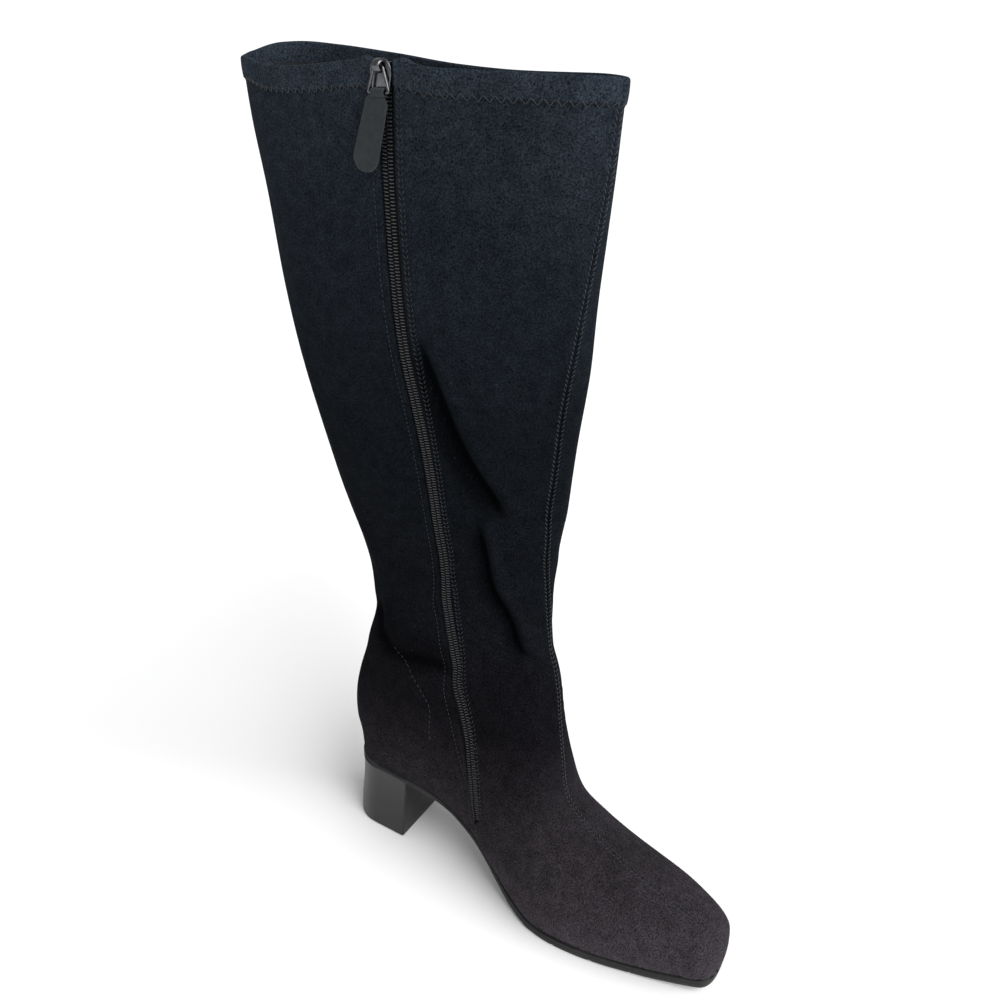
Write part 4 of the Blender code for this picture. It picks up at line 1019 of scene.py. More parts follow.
def twisted(name):
    """Sewing thread with its twist."""
    made = Finish(name, 0.55, 0.3, sheen_weight=0.08)
    twist = made.noise(2600.0, 2.0)
    made.feed("Base Color", made.scaled(THREADS[name], made.varied(twist, 0.6, 1.35)))
    made.bump(twist, 0.3, 0.0002)
    return made.material


def coil_nylon():
    """Glossy nylon of the zip's coil."""
    made = Finish("zip_coil_nylon", 0.22, coat_weight=0.4, coat_roughness=0.12)
    wear = made.noise(500.0, 2.0)
    made.feed("Base Color", made.scaled((0.012, 0.013, 0.015), made.varied(wear, 0.7, 1.5)))
    return made.material


def sole_rubber():
    """Moulded rubber with a fine grain and patches of dust."""
    made = Finish("sole_rubber", 0.62, 0.25)
    grain = made.noise(1300.0, 3.0)
    dust = made.noise(90.0, 3.0)
    plain = made.scaled((0.020, 0.019, 0.020), made.varied(grain, 0.8, 1.2))
    made.feed("Base Color", made.mix(made.span(dust, 0.5, 0.75, 0.0, 0.35), plain, (0.045, 0.042, 0.041)))
    made.bump(grain, 0.35, 0.0003)
    return made.material


def heel_finish():
    """Lacquered block heel with fine level streaks and duller clouds."""
    made = Finish("heel_stack", 0.36, 0.3, coat_weight=0.08, coat_roughness=0.30)
    streaks = made.noise(900.0, 3.0, 0.6, made.stretched((0.05, 0.05, 1.0)))
    cloud = made.noise(45.0, 3.0)
    plain = made.scaled((0.0115, 0.0105, 0.0102), made.varied(streaks, 0.80, 1.2))
    made.feed("Base Color", made.scaled(plain, made.varied(cloud, 0.85, 1.2)))
    made.feed("Roughness", made.varied(cloud, 0.30, 0.46))
    made.bump(streaks, 0.12, 0.0003)
    return made.material


def polished_metal():
    """Dark plated metal with small scratches."""
    made = Finish("dark_metal", 0.2, metallic=1.0)
    scratch = made.noise(900.0, 2.0, 0.5, made.stretched((1.0, 1.0, 0.2)))
    cloud = made.noise(300.0, 2.0)
    made.feed("Base Color", made.scaled((0.125, 0.127, 0.135), made.varied(cloud, 0.75, 1.2)))
    made.feed("Roughness", made.varied(scratch, 0.14, 0.32))
    return made.material


def pull_leather():
    """Matte grey-teal leather with a pebbled grain."""
    made = Finish("pull_leather", 0.62, 0.2, sheen_weight=0.15)
    cells = made.node("TexVoronoi", {"Vector": made.place, "Scale": 1500.0}).outputs["Distance"]
    cloud = made.noise(260.0, 3.0)
    plain = made.scaled((0.0150, 0.0190, 0.0220), made.varied(cloud, 0.75, 1.25))
    made.feed("Base Color", made.scaled(plain, made.span(cells, 0.0, 0.7, 1.12, 0.82)))
    made.bump(cells, 0.30, 0.0003)
    made.bump(cloud, 0.15, 0.0006)
    return made.material


# Columns of the skin: metres from the slot and the seam, then even ones between
SLOT_OFFSETS = np.array((0.0, 0.0004, 0.0009, 0.0016, 0.0026, 0.0040, 0.0058, 0.0080, 0.0105))
SEAM_OFFSETS = np.array((0.0, 0.0004, 0.0009, 0.0015, 0.0022, 0.0032, 0.0046, 0.0064))
NO_OFFSETS = np.array((0.0,))
ROOM_SHARE = 0.45
SOLE_COLUMNS = 14
BEHIND_COLUMNS = 22
BEFORE_COLUMNS = 30
LATERAL_COLUMNS = 62
WIDEST_HALF_SLOT = 0.03
BEFORE_ONE = 1.0 - 1e-12


def graded(start, end, near_start, near_end, count):
    """Places from start to end, at given distances near the ends and even between."""
    room = ROOM_SHARE * (end - start)
    first = near_start * min(1.0, room / max(near_start[-1], 1e-9))
    last = near_end * min(1.0, room / max(near_end[-1], 1e-9))
    middle = np.linspace(start + first[-1], end - last[-1], count + 1)
    return np.concatenate((start + first[:-1], middle, (end - last[:-1])[::-1]))


def half_slot(u):
    """Half the slot's width as a share of the way round."""
    return min(SLOT_WIDTH / 2 / zip_speed(u), WIDEST_HALF_SLOT)


def column_places(u):
    """Places of the skin's columns in a row, closer together beside the slot and the seam."""
    at_slot, at_seam = SLOT_OFFSETS / zip_speed(u), SEAM_OFFSETS / seam_speed(u)
    seam = float(front_seam(u))
    back = np.linspace(0.0, BOTTOM_V, SOLE_COLUMNS + 1)[:-1]
    behind = graded(BOTTOM_V, ZIP_V - half_slot(u), NO_OFFSETS, at_slot, BEHIND_COLUMNS)
    before = graded(ZIP_V + half_slot(u), seam, at_slot, at_seam, BEFORE_COLUMNS)
    lateral = graded(seam, 1 - BOTTOM_V, at_seam, NO_OFFSETS, LATERAL_COLUMNS)[1:]
    closing = np.linspace(1 - BOTTOM_V, 1.0, SOLE_COLUMNS + 1)[1:]
    return np.concatenate((back, behind, before, lateral, closing))


def mark_rows(us):
    """The rows at the slot's lower end and at the heel's ring, each set to its own place."""
    slot_row, ring_row = np.searchsorted(us, (SLOT_BOTTOM, HEEL_RING))
    us[slot_row] = SLOT_BOTTOM
    return int(slot_row), int(ring_row)


def kept_cells(shape, slot_row, ring_row, slot, bottom):
    """Which cells of a grid round the boot are there: none in the slot or under the foot."""
    keep = np.ones((shape[0] - 1, shape[1] - 1), bool)
    keep[slot_row:, slot] = False
    keep[:ring_row, :bottom] = False
    keep[:ring_row, shape[1] - 1 - bottom:] = False
    return keep


SLOT_COLUMN = SOLE_COLUMNS + BEHIND_COLUMNS + len(SLOT_OFFSETS) - 1

# Where the stitches begin and end, and the metres up the boot for one unit of u at the collar
U_HEIGHT = 0.028
STITCH_TOP_U = COLLAR_U - HEM_HEIGHT / U_HEIGHT - 0.06
STITCH_TOE_U = 0.35

# Sections between rings on the foot and on the shaft, and the rings on the hem
SKIN_STEPS = (0.125, 0.08)
LINING_STEPS = (0.35, 0.22)
HEM_RINGS = 24

# The rim and the edges turned in at the hem, the toe, the sole and the slot
RIM_RADIUS = (WALL + HEM_STEP) / 2
RIM_U = COLLAR_U - RIM_RADIUS / U_HEIGHT
HEM_U = COLLAR_U - 0.46
RIM_TURNS = np.radians((25, 50, 75, 90, 105, 130, 155, 180))
HEM_INSIDE = ((0.0020, 0.0), (0.0050, 0.0), (0.0080, 0.0), (0.0105, 0.0), (0.0118, 0.0006))
HEM_EDGE = 0.0008
TOE_SHRINK = (0.04, 0.2, 0.4, 0.6, 0.78, 0.9, 0.97)
TOE_BULGE = 0.0005
FEATHER = ((0.0004, 0.0002), (0.0030, 0.0003))
SLOT_EDGE = ((0.0002, 0.0002), (0.0003, 0.0009), (0.0002, 0.0023))


def make_upper(finish):
    """The upper's outer face with its folds, seams, rounded rim and turned edges."""
    us = np.concatenate((np.arange(0.0, HEEL_RING, SKIN_STEPS[0]),
                         np.arange(HEEL_RING, HEM_U, SKIN_STEPS[1]), np.linspace(HEM_U, RIM_U, HEM_RINGS)))
    slot_row, ring_row = mark_rows(us)
    vs = np.array([column_places(u) for u in us])
    grid_u = np.repeat(us[:, None], vs.shape[1], axis=1)
    points, normals = skin(grid_u, np.minimum(vs, BEFORE_ONE))
    points[:, -1] = points[:, 0]
    below_rim = (COLLAR_U - grid_u) * rim_speed(vs)
    # Painted sheen on the hem band and painted shade in and beside the fold troughs, kept on each point
    shade = fold_field(outer_points(grid_u, vs))[1]
    tone = HEM_PAINTED_SHEEN * smooth((HEM_HEIGHT - below_rim) / HEM_EDGE) - smooth(shade / FOLD_PAINTED_SHADE_DEPTH)
    sheet = Sheet()
    numbers = sheet.add(points, tone)
    sheet.strip(numbers, kept_cells(vs.shape, slot_row, ring_row, SLOT_COLUMN, SOLE_COLUMNS))
    make_rim(sheet, points, normals, numbers)
    make_slot_edges(sheet, points, normals, numbers, slot_row)
    make_feather(sheet, points, numbers, ring_row)
    make_toe(sheet, points, numbers)
    piece("upper_skin", sheet.mesh("upper_skin"), finish, stands_for=("upper",))


def make_rim(sheet, points, normals, numbers):
    """The rim turns over and runs down inside to the hem's raw edge."""
    rim, outwards = points[-1], normals[-1]
    up = unit(points[-1] - points[-3])
    rows = [rim + RIM_RADIUS * (outwards * (math.cos(turn) - 1) + up * math.sin(turn)) for turn in RIM_TURNS]
    rows += [rim - outwards * (2 * RIM_RADIUS - raised) - up * down for down, raised in HEM_INSIDE]
    # The turned rim gets the hem's painted sheen
    turned = sheet.add(np.array(rows), HEM_PAINTED_SHEEN)
    keep = np.ones((len(rows), len(rim) - 1), bool)
    keep[:, SLOT_COLUMN] = False
    sheet.strip(np.concatenate((numbers[-1:], turned)), keep)
    for column, flip in ((SLOT_COLUMN, 1), (SLOT_COLUMN + 1, -1)):
        end = [int(numbers[-1, column])] + [int(n) for n in turned[:-1, column]]
        sheet.faces.append(end[::flip])


def make_slot_edges(sheet, points, normals, numbers, slot_row):
    """The cut edges of the zip's slot, turned in."""
    for column, into in ((SLOT_COLUMN, 1), (SLOT_COLUMN + 1, -1)):
        own = points[slot_row:, column]
        across = unit(points[slot_row:, SLOT_COLUMN + 1] - points[slot_row:, SLOT_COLUMN]) * into
        strips = [own + across * side - normals[slot_row:, column] * deep for side, deep in SLOT_EDGE]
        made = sheet.add(np.stack(strips, axis=1))
        grid = np.concatenate((numbers[slot_row:, column:column + 1], made), axis=1)
        sheet.strip(grid if into > 0 else grid[:, ::-1])


def make_feather(sheet, points, numbers, ring_row):
    """The upper's lower edge, turned in over the outsole."""
    low, high = SOLE_COLUMNS, numbers.shape[1] - 1 - SOLE_COLUMNS

    def turned(own, side):
        along = np.gradient(own, axis=0)
        level = unit(np.stack((along[:, 1], -along[:, 0], 0 * along[:, 0]), axis=-1)) * side
        return [own + level * inward - np.array((0, 0, down)) for inward, down in FEATHER]
    for column, side in ((low, 1), (high, -1)):
        made = sheet.add(np.stack(turned(points[:ring_row + 1, column], side), axis=1))
        grid = np.concatenate((numbers[:ring_row + 1, column:column + 1], made), axis=1)
        sheet.strip(grid if side < 0 else grid[:, ::-1])
    ring = np.concatenate((np.arange(high, numbers.shape[1] - 1), np.arange(0, low + 1)))
    made = sheet.add(np.stack(turned(points[ring_row, ring], -1)))
    sheet.strip(np.concatenate((made[::-1], numbers[ring_row:ring_row + 1, ring])))


def make_toe(sheet, points, numbers):
    """The small rounded face that closes the toe."""
    columns = slice(SOLE_COLUMNS, points.shape[1] - SOLE_COLUMNS)
    ring = points[0, columns]
    centre = (ring[0] + ring[-1]) / 2
    rows = []
    for share in TOE_SHRINK:
        row = centre + (ring - centre) * share
        row[:, 0] = ring[:, 0] + TOE_BULGE * (1 - share**2)
        rows.append(row)
    made = sheet.add(np.array(rows))
    sheet.strip(np.concatenate((made, numbers[0:1, columns])))
    sheet.faces.append([int(n) for n in made[0]])


LINING_DROP = 0.34
LINING_COLUMNS = (7, 13, 59)


def make_lining(finish):
    """The inside of the wall, from under the hem to the insole."""
    top_u = COLLAR_U - LINING_DROP
    us = np.concatenate((np.arange(0.0, HEEL_RING, LINING_STEPS[0]),
                         np.arange(HEEL_RING, top_u, LINING_STEPS[1]), [top_u]))
    slot_row, ring_row = mark_rows(us)
    bottom, behind, before = LINING_COLUMNS
    vs = np.array([np.concatenate((np.linspace(0, BOTTOM_V, bottom + 1)[:-1],
                                   np.linspace(BOTTOM_V, ZIP_V - half_slot(u), behind + 1),
                                   np.linspace(ZIP_V + half_slot(u), 1 - BOTTOM_V, before + 1),
                                   np.linspace(1 - BOTTOM_V, 1.0, bottom + 1)[1:])) for u in us])
    points, _ = under_skin(np.repeat(us[:, None], vs.shape[1], axis=1), np.minimum(vs, BEFORE_ONE), WALL)
    points[:, -1] = points[:, 0]
    sheet = Sheet()
    numbers = sheet.add(points)
    keep = kept_cells(vs.shape, slot_row, ring_row, bottom + behind, bottom)
    sheet.strip(numbers[:, ::-1], keep[:, ::-1])
    piece("lining", sheet.mesh("lining"), finish)


def zip_points(u, offset, depth):
    """Points along the zip, at an offset from its middle and a depth under the skin."""
    u, offset = np.broadcast_arrays(np.asarray(u, float), np.asarray(offset, float))
    points, _ = under_skin(u, ZIP_V + offset / zip_speed(u), depth)
    return points


TAPE_PLACES = (0.0003, 0.0012, 0.0034, SLOT_WIDTH / 2, 0.0080, 0.0095, TAPE_HALF_WIDTH)
TAPE_GAP = (0.0005, 0.0003)
TAPE_FIRST = SLOT_BOTTOM - 0.2
TAPE_LAST = COLLAR_U - 0.1
COIL_FIRST = SLOT_BOTTOM + 0.08
COIL_ARCH = 0.00025


def make_tape(finish):
    """The zip's two tapes, with the narrow dark gap between them."""
    us = np.linspace(TAPE_FIRST, TAPE_LAST, 230)[:, None]
    offsets = np.array([-place for place in TAPE_PLACES[::-1]] + [0.0] + list(TAPE_PLACES))
    front = zip_points(us, offsets, TAPE_DEPTH + TAPE_GAP[0] * hump(offsets, TAPE_GAP[1]))
    back = zip_points(us, offsets[::-1], TAPE_DEPTH + TAPE_THICKNESS)
    sheet = Sheet()
    numbers = sheet.add(np.concatenate((front, back), axis=1))
    sheet.strip(np.concatenate((numbers, numbers[:, :1]), axis=1))
    sheet.faces.append(numbers[0][::-1].tolist())
    sheet.faces.append(numbers[-1].tolist())
    piece("zip_tapes", sheet.mesh("zip_tapes", 40), finish, stands_for=("zip_tape",))


def make_teeth(finish, top_u):
    """The coil: two rows of small bars that meet in the middle."""
    us = np.linspace(COIL_FIRST, top_u, 400)
    points, normals = under_skin(*even_places(us, np.full_like(us, ZIP_V), TOOTH_PITCH), TOOTH_DEPTH)
    along = unit(np.gradient(points, axis=0))
    legs = ((-TOOTH_PITCH * 0.1, TOOTH_INNER, 0.0, TOOTH_OUTER),
            (TOOTH_PITCH * 0.4, -TOOTH_INNER, TOOTH_PITCH * 0.5, -TOOTH_OUTER))
    frames = (points, along, np.cross(normals, along), normals)
    sheet = bars(frames, legs, TOOTH_RADIUS, COIL_ARCH, 8, 0.75)
    piece("zip_teeth", sheet.mesh("zip_teeth"), finish, stands_for=("zip_coil",))


def stitches(name, finish, us, vs, step, legs, radius=THREAD_RADIUS):
    """A row of stitches as a piece."""
    piece(name, sewn(us, vs, step, legs, radius).mesh(name), finish)


def make_hem_stitches(finish):
    """The zigzag row that holds the hem, from one side of the zip round to the other."""
    gap = (SLOT_WIDTH / 2 + HEM_STITCH_CLEAR) / float(zip_speed(COLLAR_U))
    vs = np.linspace(ZIP_V + gap, ZIP_V + 1 - gap, 1500)
    half, swing = HEM_STITCH_STEP * 0.46, HEM_STITCH_HALF
    legs = (((-half, -swing, half, swing),), ((-half, swing, half, -swing),))
    stitches("hem_stitches", finish, COLLAR_U - HEM_STITCH_DROP / rim_speed(vs), vs, HEM_STITCH_STEP, legs)


def make_seam_stitches(finish):
    """Two columns of slanted stitches down the front seam, from the hem to the toe."""
    us = np.linspace(STITCH_TOP_U, STITCH_TOE_U, 1500)
    half, place, lean = SEAM_STITCH_STEP * 0.36, SEAM_STITCH_PLACE, SEAM_STITCH_HALF
    legs = tuple((-half, side * (place + lean), half, side * (place - lean)) for side in (-1, 1))
    stitches("seam_stitches", finish, us, front_seam(us), SEAM_STITCH_STEP, (legs,))


def make_zip_stitches(finish):
    """One row behind the zip's slot, and a slanted double row before it."""
    us = np.linspace(STITCH_TOP_U, SLOT_BOTTOM + 0.1, 1200)
    for number, (place, legs) in enumerate(ZIP_ROWS):
        vs = ZIP_V + place / zip_speed(us)
        stitches(f"zip_stitches_{number + 1}", finish, us, vs, SEAM_STITCH_STEP, (legs,))


def make_counter_stitches(finish):
    """The dashes of the counter's seam and of the short seam under the zip."""
    for name, line in (("counter_stitches", COUNTER_SEAM), ("shank_stitches", SHANK_SEAM)):
        stitches(name, finish, *places_on(line, 200), COUNTER_STITCH_STEP, (DASH,), THREAD_RADIUS * 0.8)


def slider_frame():
    """Frame at the slider's top: X across the zip, Y into the boot, Z up the zip."""
    top = outer_points(COLLAR_U, ZIP_V)
    outwards = Vector(outward(COLLAR_U - 0.3, ZIP_V))
    up = Vector(top - outer_points(COLLAR_U - 0.5, ZIP_V))
    up = (up - outwards * up.dot(outwards)).normalized()
    across = up.cross(outwards)
    across.negate()
    made = Matrix((across, -outwards, up)).transposed().to_4x4()
    made.translation = Vector(top) + up * SLIDER_ABOVE_COLLAR
    return made


def hinge_frame(slider):
    """Frame of the pull on its hinge axis: X across, Y into the boot, Z up."""
    depth = -(HEM_STEP + FIT_GAP + SLIDER_PLATE + BRIDGE_CLEAR / 2)
    across = Vector((slider[0][0], slider[1][0], 0.0)).normalized()
    up = Vector((0.0, 0.0, 1.0))
    made = Matrix((across, up.cross(across), up)).transposed().to_4x4()
    made.translation = slider @ Vector((0.0, depth, -HINGE_BELOW_TOP))
    return made


def slab_mesh(name, outline, front, back, edge, segments=3):
    """A flat plate from its outline (x, z), between two depths, with rounded edges."""
    work = bmesh.new()
    face = work.faces.new([work.verts.new((x, front, z)) for x, z in outline])
    grown = bmesh.ops.extrude_face_region(work, geom=[face])
    moved = [item for item in grown["geom"] if isinstance(item, bmesh.types.BMVert)]
    bmesh.ops.translate(work, verts=moved, vec=(0.0, back - front, 0.0))
    bmesh.ops.recalc_face_normals(work, faces=work.faces)
    flat = [e for e in work.edges if len(e.link_faces) == 2 and e.calc_face_angle() > math.radians(50)]
    bmesh.ops.bevel(work, geom=flat, offset=edge, segments=segments, profile=0.5, affect="EDGES",
                    clamp_overlap=True)
    return finished(work, bpy.data.meshes.new(name))


def joined(name, meshes):
    """Several meshes as one."""
    work = bmesh.new()
    for mesh in meshes:
        work.from_mesh(mesh)
        bpy.data.meshes.remove(mesh)
    return finished(work, bpy.data.meshes.new(name))


def round_box(name, size, centre, edge):
    """A box with rounded edges."""
    work = bmesh.new()
    place = Matrix.Translation(centre) @ Matrix.Diagonal((*size, 1.0))
    bmesh.ops.create_cube(work, size=1.0, matrix=place)
    bmesh.ops.bevel(work, geom=work.edges[:], offset=edge, segments=3, profile=0.5, affect="EDGES")
    return finished(work, bpy.data.meshes.new(name))


# Outline of the slider's plate: half width at distances below its top
SLIDER_OUTLINE = ((0.0, 0.0012), (0.0003, 0.0024), (0.0009, 0.0035), (0.0020, 0.0046), (0.0036, 0.0053),
                  (0.0056, 0.0055), (0.0078, 0.0052), (0.0098, 0.0048), (0.0114, 0.0046), (0.0122, 0.0042),
                  (0.0125, 0.0034))


PLATE_EDGE = 0.0004
RAIL_SIZE = (0.0010, 0.0026, 0.0098)
RAIL_ACROSS = 0.0036
RAIL_DEPTH = 0.0008
RAIL_EDGE = 0.0003
NOSE_SIZE = (0.0026, 0.0030, 0.0030)
NOSE_DEPTH = 0.0010
NOSE_DOWN = 0.0022
NOSE_EDGE = 0.0005
BRIDGE_HALF_WIDTH = 0.0024
BRIDGE_WAIST = 0.0006
BRIDGE_STEPS = 15
BRIDGE_POWER = 0.7


def make_slider(finish, place):
    """The slider: a shaped plate with side rails, and the arched bridge for the ring."""
    low = -(HEM_STEP + FIT_GAP)
    top = low - SLIDER_PLATE
    outline = [(half, -down) for down, half in SLIDER_OUTLINE]
    outline += [(-half, -down) for down, half in reversed(SLIDER_OUTLINE)]
    meshes = [slab_mesh("slider_plate", outline, top, low, PLATE_EDGE)]
    for side in (-1, 1):
        centre = (side * RAIL_ACROSS, low + RAIL_DEPTH, -SLIDER_LENGTH / 2)
        meshes.append(round_box("slider_rail", RAIL_SIZE, centre, RAIL_EDGE))
    meshes.append(round_box("slider_nose", NOSE_SIZE, (0.0, low + NOSE_DEPTH, -NOSE_DOWN), NOSE_EDGE))
    base, crown = (low + top) / 2, top - BRIDGE_CLEAR - BRIDGE_BAR / 2
    reach = BRIDGE_LENGTH / 2
    turns = np.linspace(0, math.pi, BRIDGE_STEPS)
    path = np.stack((0 * turns, base + (crown - base) * np.sin(turns) ** BRIDGE_POWER,
                     -BRIDGE_TOP - reach + reach * np.cos(turns)), axis=-1)
    across = np.array((1.0, 0.0, 0.0))
    facing = np.cross(unit(np.gradient(path, axis=0)), across)
    rounds = np.linspace(0, 2 * math.pi, 17)
    widths = BRIDGE_HALF_WIDTH - BRIDGE_WAIST * np.sin(turns)
    rings = (path[:, None] + widths[:, None, None] * np.cos(rounds)[None, :, None] * across
             + BRIDGE_BAR / 2 * np.sin(rounds)[None, :, None] * facing[:, None])
    sheet = Sheet()
    sheet.strip(sheet.add(rings))
    meshes.append(sheet.mesh("slider_bridge", 80))
    mesh = joined("slider_body", meshes)
    mesh.transform(place)
    piece("slider_body", mesh, finish, stands_for=("zip_slider",))


def ring_path():
    """Centre line of the ring, X across and Z up, from its bar in the bridge."""
    corners = ((-RING_TOP_WIDTH / 2, 0.0), (RING_TOP_WIDTH / 2, 0.0),
               (RING_LOW_WIDTH / 2, -RING_LENGTH), (-RING_LOW_WIDTH / 2, -RING_LENGTH))
    points = []
    for k, corner in enumerate(corners):
        here = Vector(corner)
        before = (Vector(corners[k - 1]) - here).normalized() * RING_TURN
        after = (Vector(corners[(k + 1) % 4]) - here).normalized() * RING_TURN
        for t in np.linspace(0, 1, 7):
            point = here + before * (1 - t) ** 2 + after * t**2
            points.append((point.x, 0.0, point.y))
    return np.array(points)


def make_ring(finish, place):
    """The wire ring between the slider and the tab."""
    path = ring_path()[None]
    normals = np.broadcast_to(np.array((0.0, -1.0, 0.0)), path.shape)
    sheet = tube_sheet(path, normals, np.full(path.shape[1], RING_WIRE / 2), 14, closed=True)
    mesh = sheet.mesh("ring_wire", 80)
    mesh.transform(place)
    piece("ring_wire", mesh, finish, "zip_pull", ("pull_ring",))


TAB_NECK_HALF = (RING_LOW_WIDTH - RING_WIRE) / 2 - RING_TURN - FIT_GAP
TAB_START = 0.0010
TAB_EDGE = 0.0005
EYE_HOLE = RING_WIRE / 2 + FIT_GAP
EYE_OUTSIDE = EYE_HOLE + TAB_EYE_WALL
EYE_ROUND = 0.0003
EYE_LIP = 0.0002
TAB_STITCH_INSET = 0.0013
TAB_STITCH_START = 0.001
TAB_STITCH_STEP = 0.0022
TAB_STITCH_HALF = 0.0007
TAB_STITCH_RADIUS = 0.00016
TAB_STITCH_ARCH = 0.00005


def tab_outline(inset=0.0):
    """Outline of the tab, X across and Z up, drawn in by an inset."""
    radius, top, neck = TAB_WIDTH / 2 - inset, TAB_TOP_WIDTH / 2 - inset, TAB_NECK_HALF - inset
    end = -TAB_LENGTH + TAB_WIDTH / 2
    right = [(neck, -TAB_START - inset), (neck, -TAB_NECK + TAB_SHOULDER - inset),
             (top, -TAB_NECK - TAB_SHOULDER - inset)]
    round_end = [(radius * math.cos(t), end - radius * math.sin(t)) for t in np.linspace(0, math.pi, 25)]
    return right + round_end + [(-x, z) for x, z in reversed(right)]


def tab_eye():
    """The fold of the tab round the ring's lower bar."""
    right = ((TAB_NECK_HALF - EYE_ROUND, EYE_HOLE), (TAB_NECK_HALF, EYE_HOLE + EYE_LIP),
             (TAB_NECK_HALF, EYE_OUTSIDE - EYE_ROUND), (TAB_NECK_HALF - EYE_ROUND, EYE_OUTSIDE))
    profile = right + tuple((-x, r) for x, r in right[::-1]) + right[:1]
    turns = np.linspace(0, 2 * math.pi, 33)
    rings = np.array([[(x, r * math.sin(t), r * math.cos(t)) for t in turns] for x, r in profile])
    sheet = Sheet()
    sheet.strip(sheet.add(rings)[:, ::-1])
    return sheet.mesh("tab_eye")


def make_tab(finish, thread, place):
    """The leather tab, folded over the ring's lower bar and stitched round its edge."""
    seat = place @ Matrix.Translation((0.0, 0.0, -RING_LENGTH))
    lean = Matrix.Rotation(TAB_LEAN, 4, "Y")
    slab = slab_mesh("tab_slab", tab_outline(), -TAB_THICKNESS / 2, TAB_THICKNESS / 2, TAB_EDGE, 4)
    slab.transform(lean)
    mesh = joined("tab_leather", [slab, tab_eye()])
    mesh.transform(seat)
    piece("tab_leather", mesh, finish, "zip_pull", ("pull_tab",))
    line = np.array([(x, -TAB_THICKNESS / 2, z) for x, z in tab_outline(TAB_STITCH_INSET)[2:-2]])
    lengths = lengths_along(line)
    at = np.linspace(TAB_STITCH_START, lengths[-1] - TAB_STITCH_START, int(lengths[-1] / TAB_STITCH_STEP))
    points = np.stack([np.interp(at, lengths, line[:, k]) for k in range(3)], axis=-1)
    normals = np.broadcast_to(np.array((0.0, -1.0, 0.0)), points.shape)
    along = unit(np.gradient(points, axis=0))
    legs = ((-TAB_STITCH_HALF, 0.0, TAB_STITCH_HALF, 0.0),)
    frames = (points, along, np.cross(normals, along), normals)
    mesh = bars(frames, legs, TAB_STITCH_RADIUS, TAB_STITCH_ARCH).mesh("tab_stitches")
    mesh.transform(seat @ lean)
    piece("tab_stitches", mesh, thread, "zip_pull")


def plan_stations(start, end, round_start, round_end, step):
    """Stations along the boot, closer together where the outline turns at its ends."""
    first = [start + round_start * (1 - math.cos(t)) for t in np.linspace(0, math.pi / 2, 25)[:-1]]
    count = int(round((end - round_end - start - round_start) / step))
    middle = list(np.linspace(start + round_start, end - round_end, count + 1))
    last = [end - round_end * (1 - math.sin(t)) for t in np.linspace(0, math.pi / 2, 19)[1:]]
    return first + middle + last


def plate_sheet(layers):
    """A closed solid from layers, each a pair of side lines (medial, lateral)."""
    sheet = Sheet()
    loops = [np.concatenate((medial, lateral[::-1])) for medial, lateral in layers]
    numbers = sheet.add(np.array(loops))
    sheet.strip(np.concatenate((numbers, numbers[:, :1]), axis=1))
    half = numbers.shape[1] // 2
    for row, flip in ((numbers[0], 1), (numbers[-1], -1)):
        pair = np.stack((row[:half], row[half:][::-1]), axis=1)
        sheet.strip(pair if flip > 0 else pair[:, ::-1])
    return sheet


def facing_out(mesh):
    """The mesh with its faces turned outwards."""
    work = bmesh.new()
    work.from_mesh(mesh)
    bmesh.ops.dissolve_degenerate(work, edges=work.edges, dist=THINNEST)
    bmesh.ops.recalc_face_normals(work, faces=work.faces)
    return finished(work, mesh)


def sole_lines(xs, inset, heights):
    """The outsole's side lines, drawn in by an inset, at given heights."""
    middle = SEAT_INSET + (FOOT_LENGTH - SEAT_INSET) / 2
    reach = (FOOT_LENGTH - SEAT_INSET) / 2
    x_in = middle + (xs - middle) * (reach - inset) / reach - HEEL_MIDDLE
    return [np.stack((x_in, side * np.maximum(sole_half(xs, side) - inset, 0.0), heights), axis=-1)
            for side in (-1, 1)]


SOLE_STEP = 0.0022
GROOVE_SLOPE = 0.00012
SOLE_LINE_SHARE = 0.62

# Rows up the outsole's side: metres drawn in, the level measured from, metres above it
SOLE_ROWS = (
    (0.0010, "under", 0.0),
    (0.0004, "under", 0.0001),
    (0.0, "plain", 0.0007),
    (0.0, "line", -0.0005),
    (0.0003, "line", -0.0002),
    (0.0003, "line", 0.0),
    (0.0, "line", 0.0003),
    (0.0, "top", -0.0006),
    (0.0002, "top", -0.0002),
    (0.0007, "top", 0.0),
)


def make_outsole(finish):
    """The outsole with rounded edges, a fine line along its side and the four grooves."""
    stations = plan_stations(SEAT_INSET, FOOT_LENGTH, SEAT_ROUND, TOE_ROUND, SOLE_STEP)
    grooves = [GROOVE_FIRST + GROOVE_PITCH * k for k in range(GROOVE_COUNT)]
    for x in grooves:
        for edge in (-GROOVE_WIDTH / 2, GROOVE_WIDTH / 2):
            stations += [x + edge - GROOVE_SLOPE, x + edge + GROOVE_SLOPE]
    xs = np.array(sorted(stations))
    plain, top = sole_under(xs), sole_top(xs)
    cut = sum(smooth((GROOVE_WIDTH / 2 - np.abs(xs - x)) / (2 * GROOVE_SLOPE) + 0.5) for x in grooves)
    levels = {"plain": plain, "under": plain + GROOVE_DEPTH * cut, "top": top,
              "line": plain + (top - plain) * SOLE_LINE_SHARE}
    layers = [sole_lines(xs, inset, np.maximum(levels[level] + rise, levels["under"]))
              for inset, level, rise in SOLE_ROWS]
    mesh = facing_out(plate_sheet(layers).mesh("sole"))
    piece("sole", mesh, finish, stands_for=("outsole",))


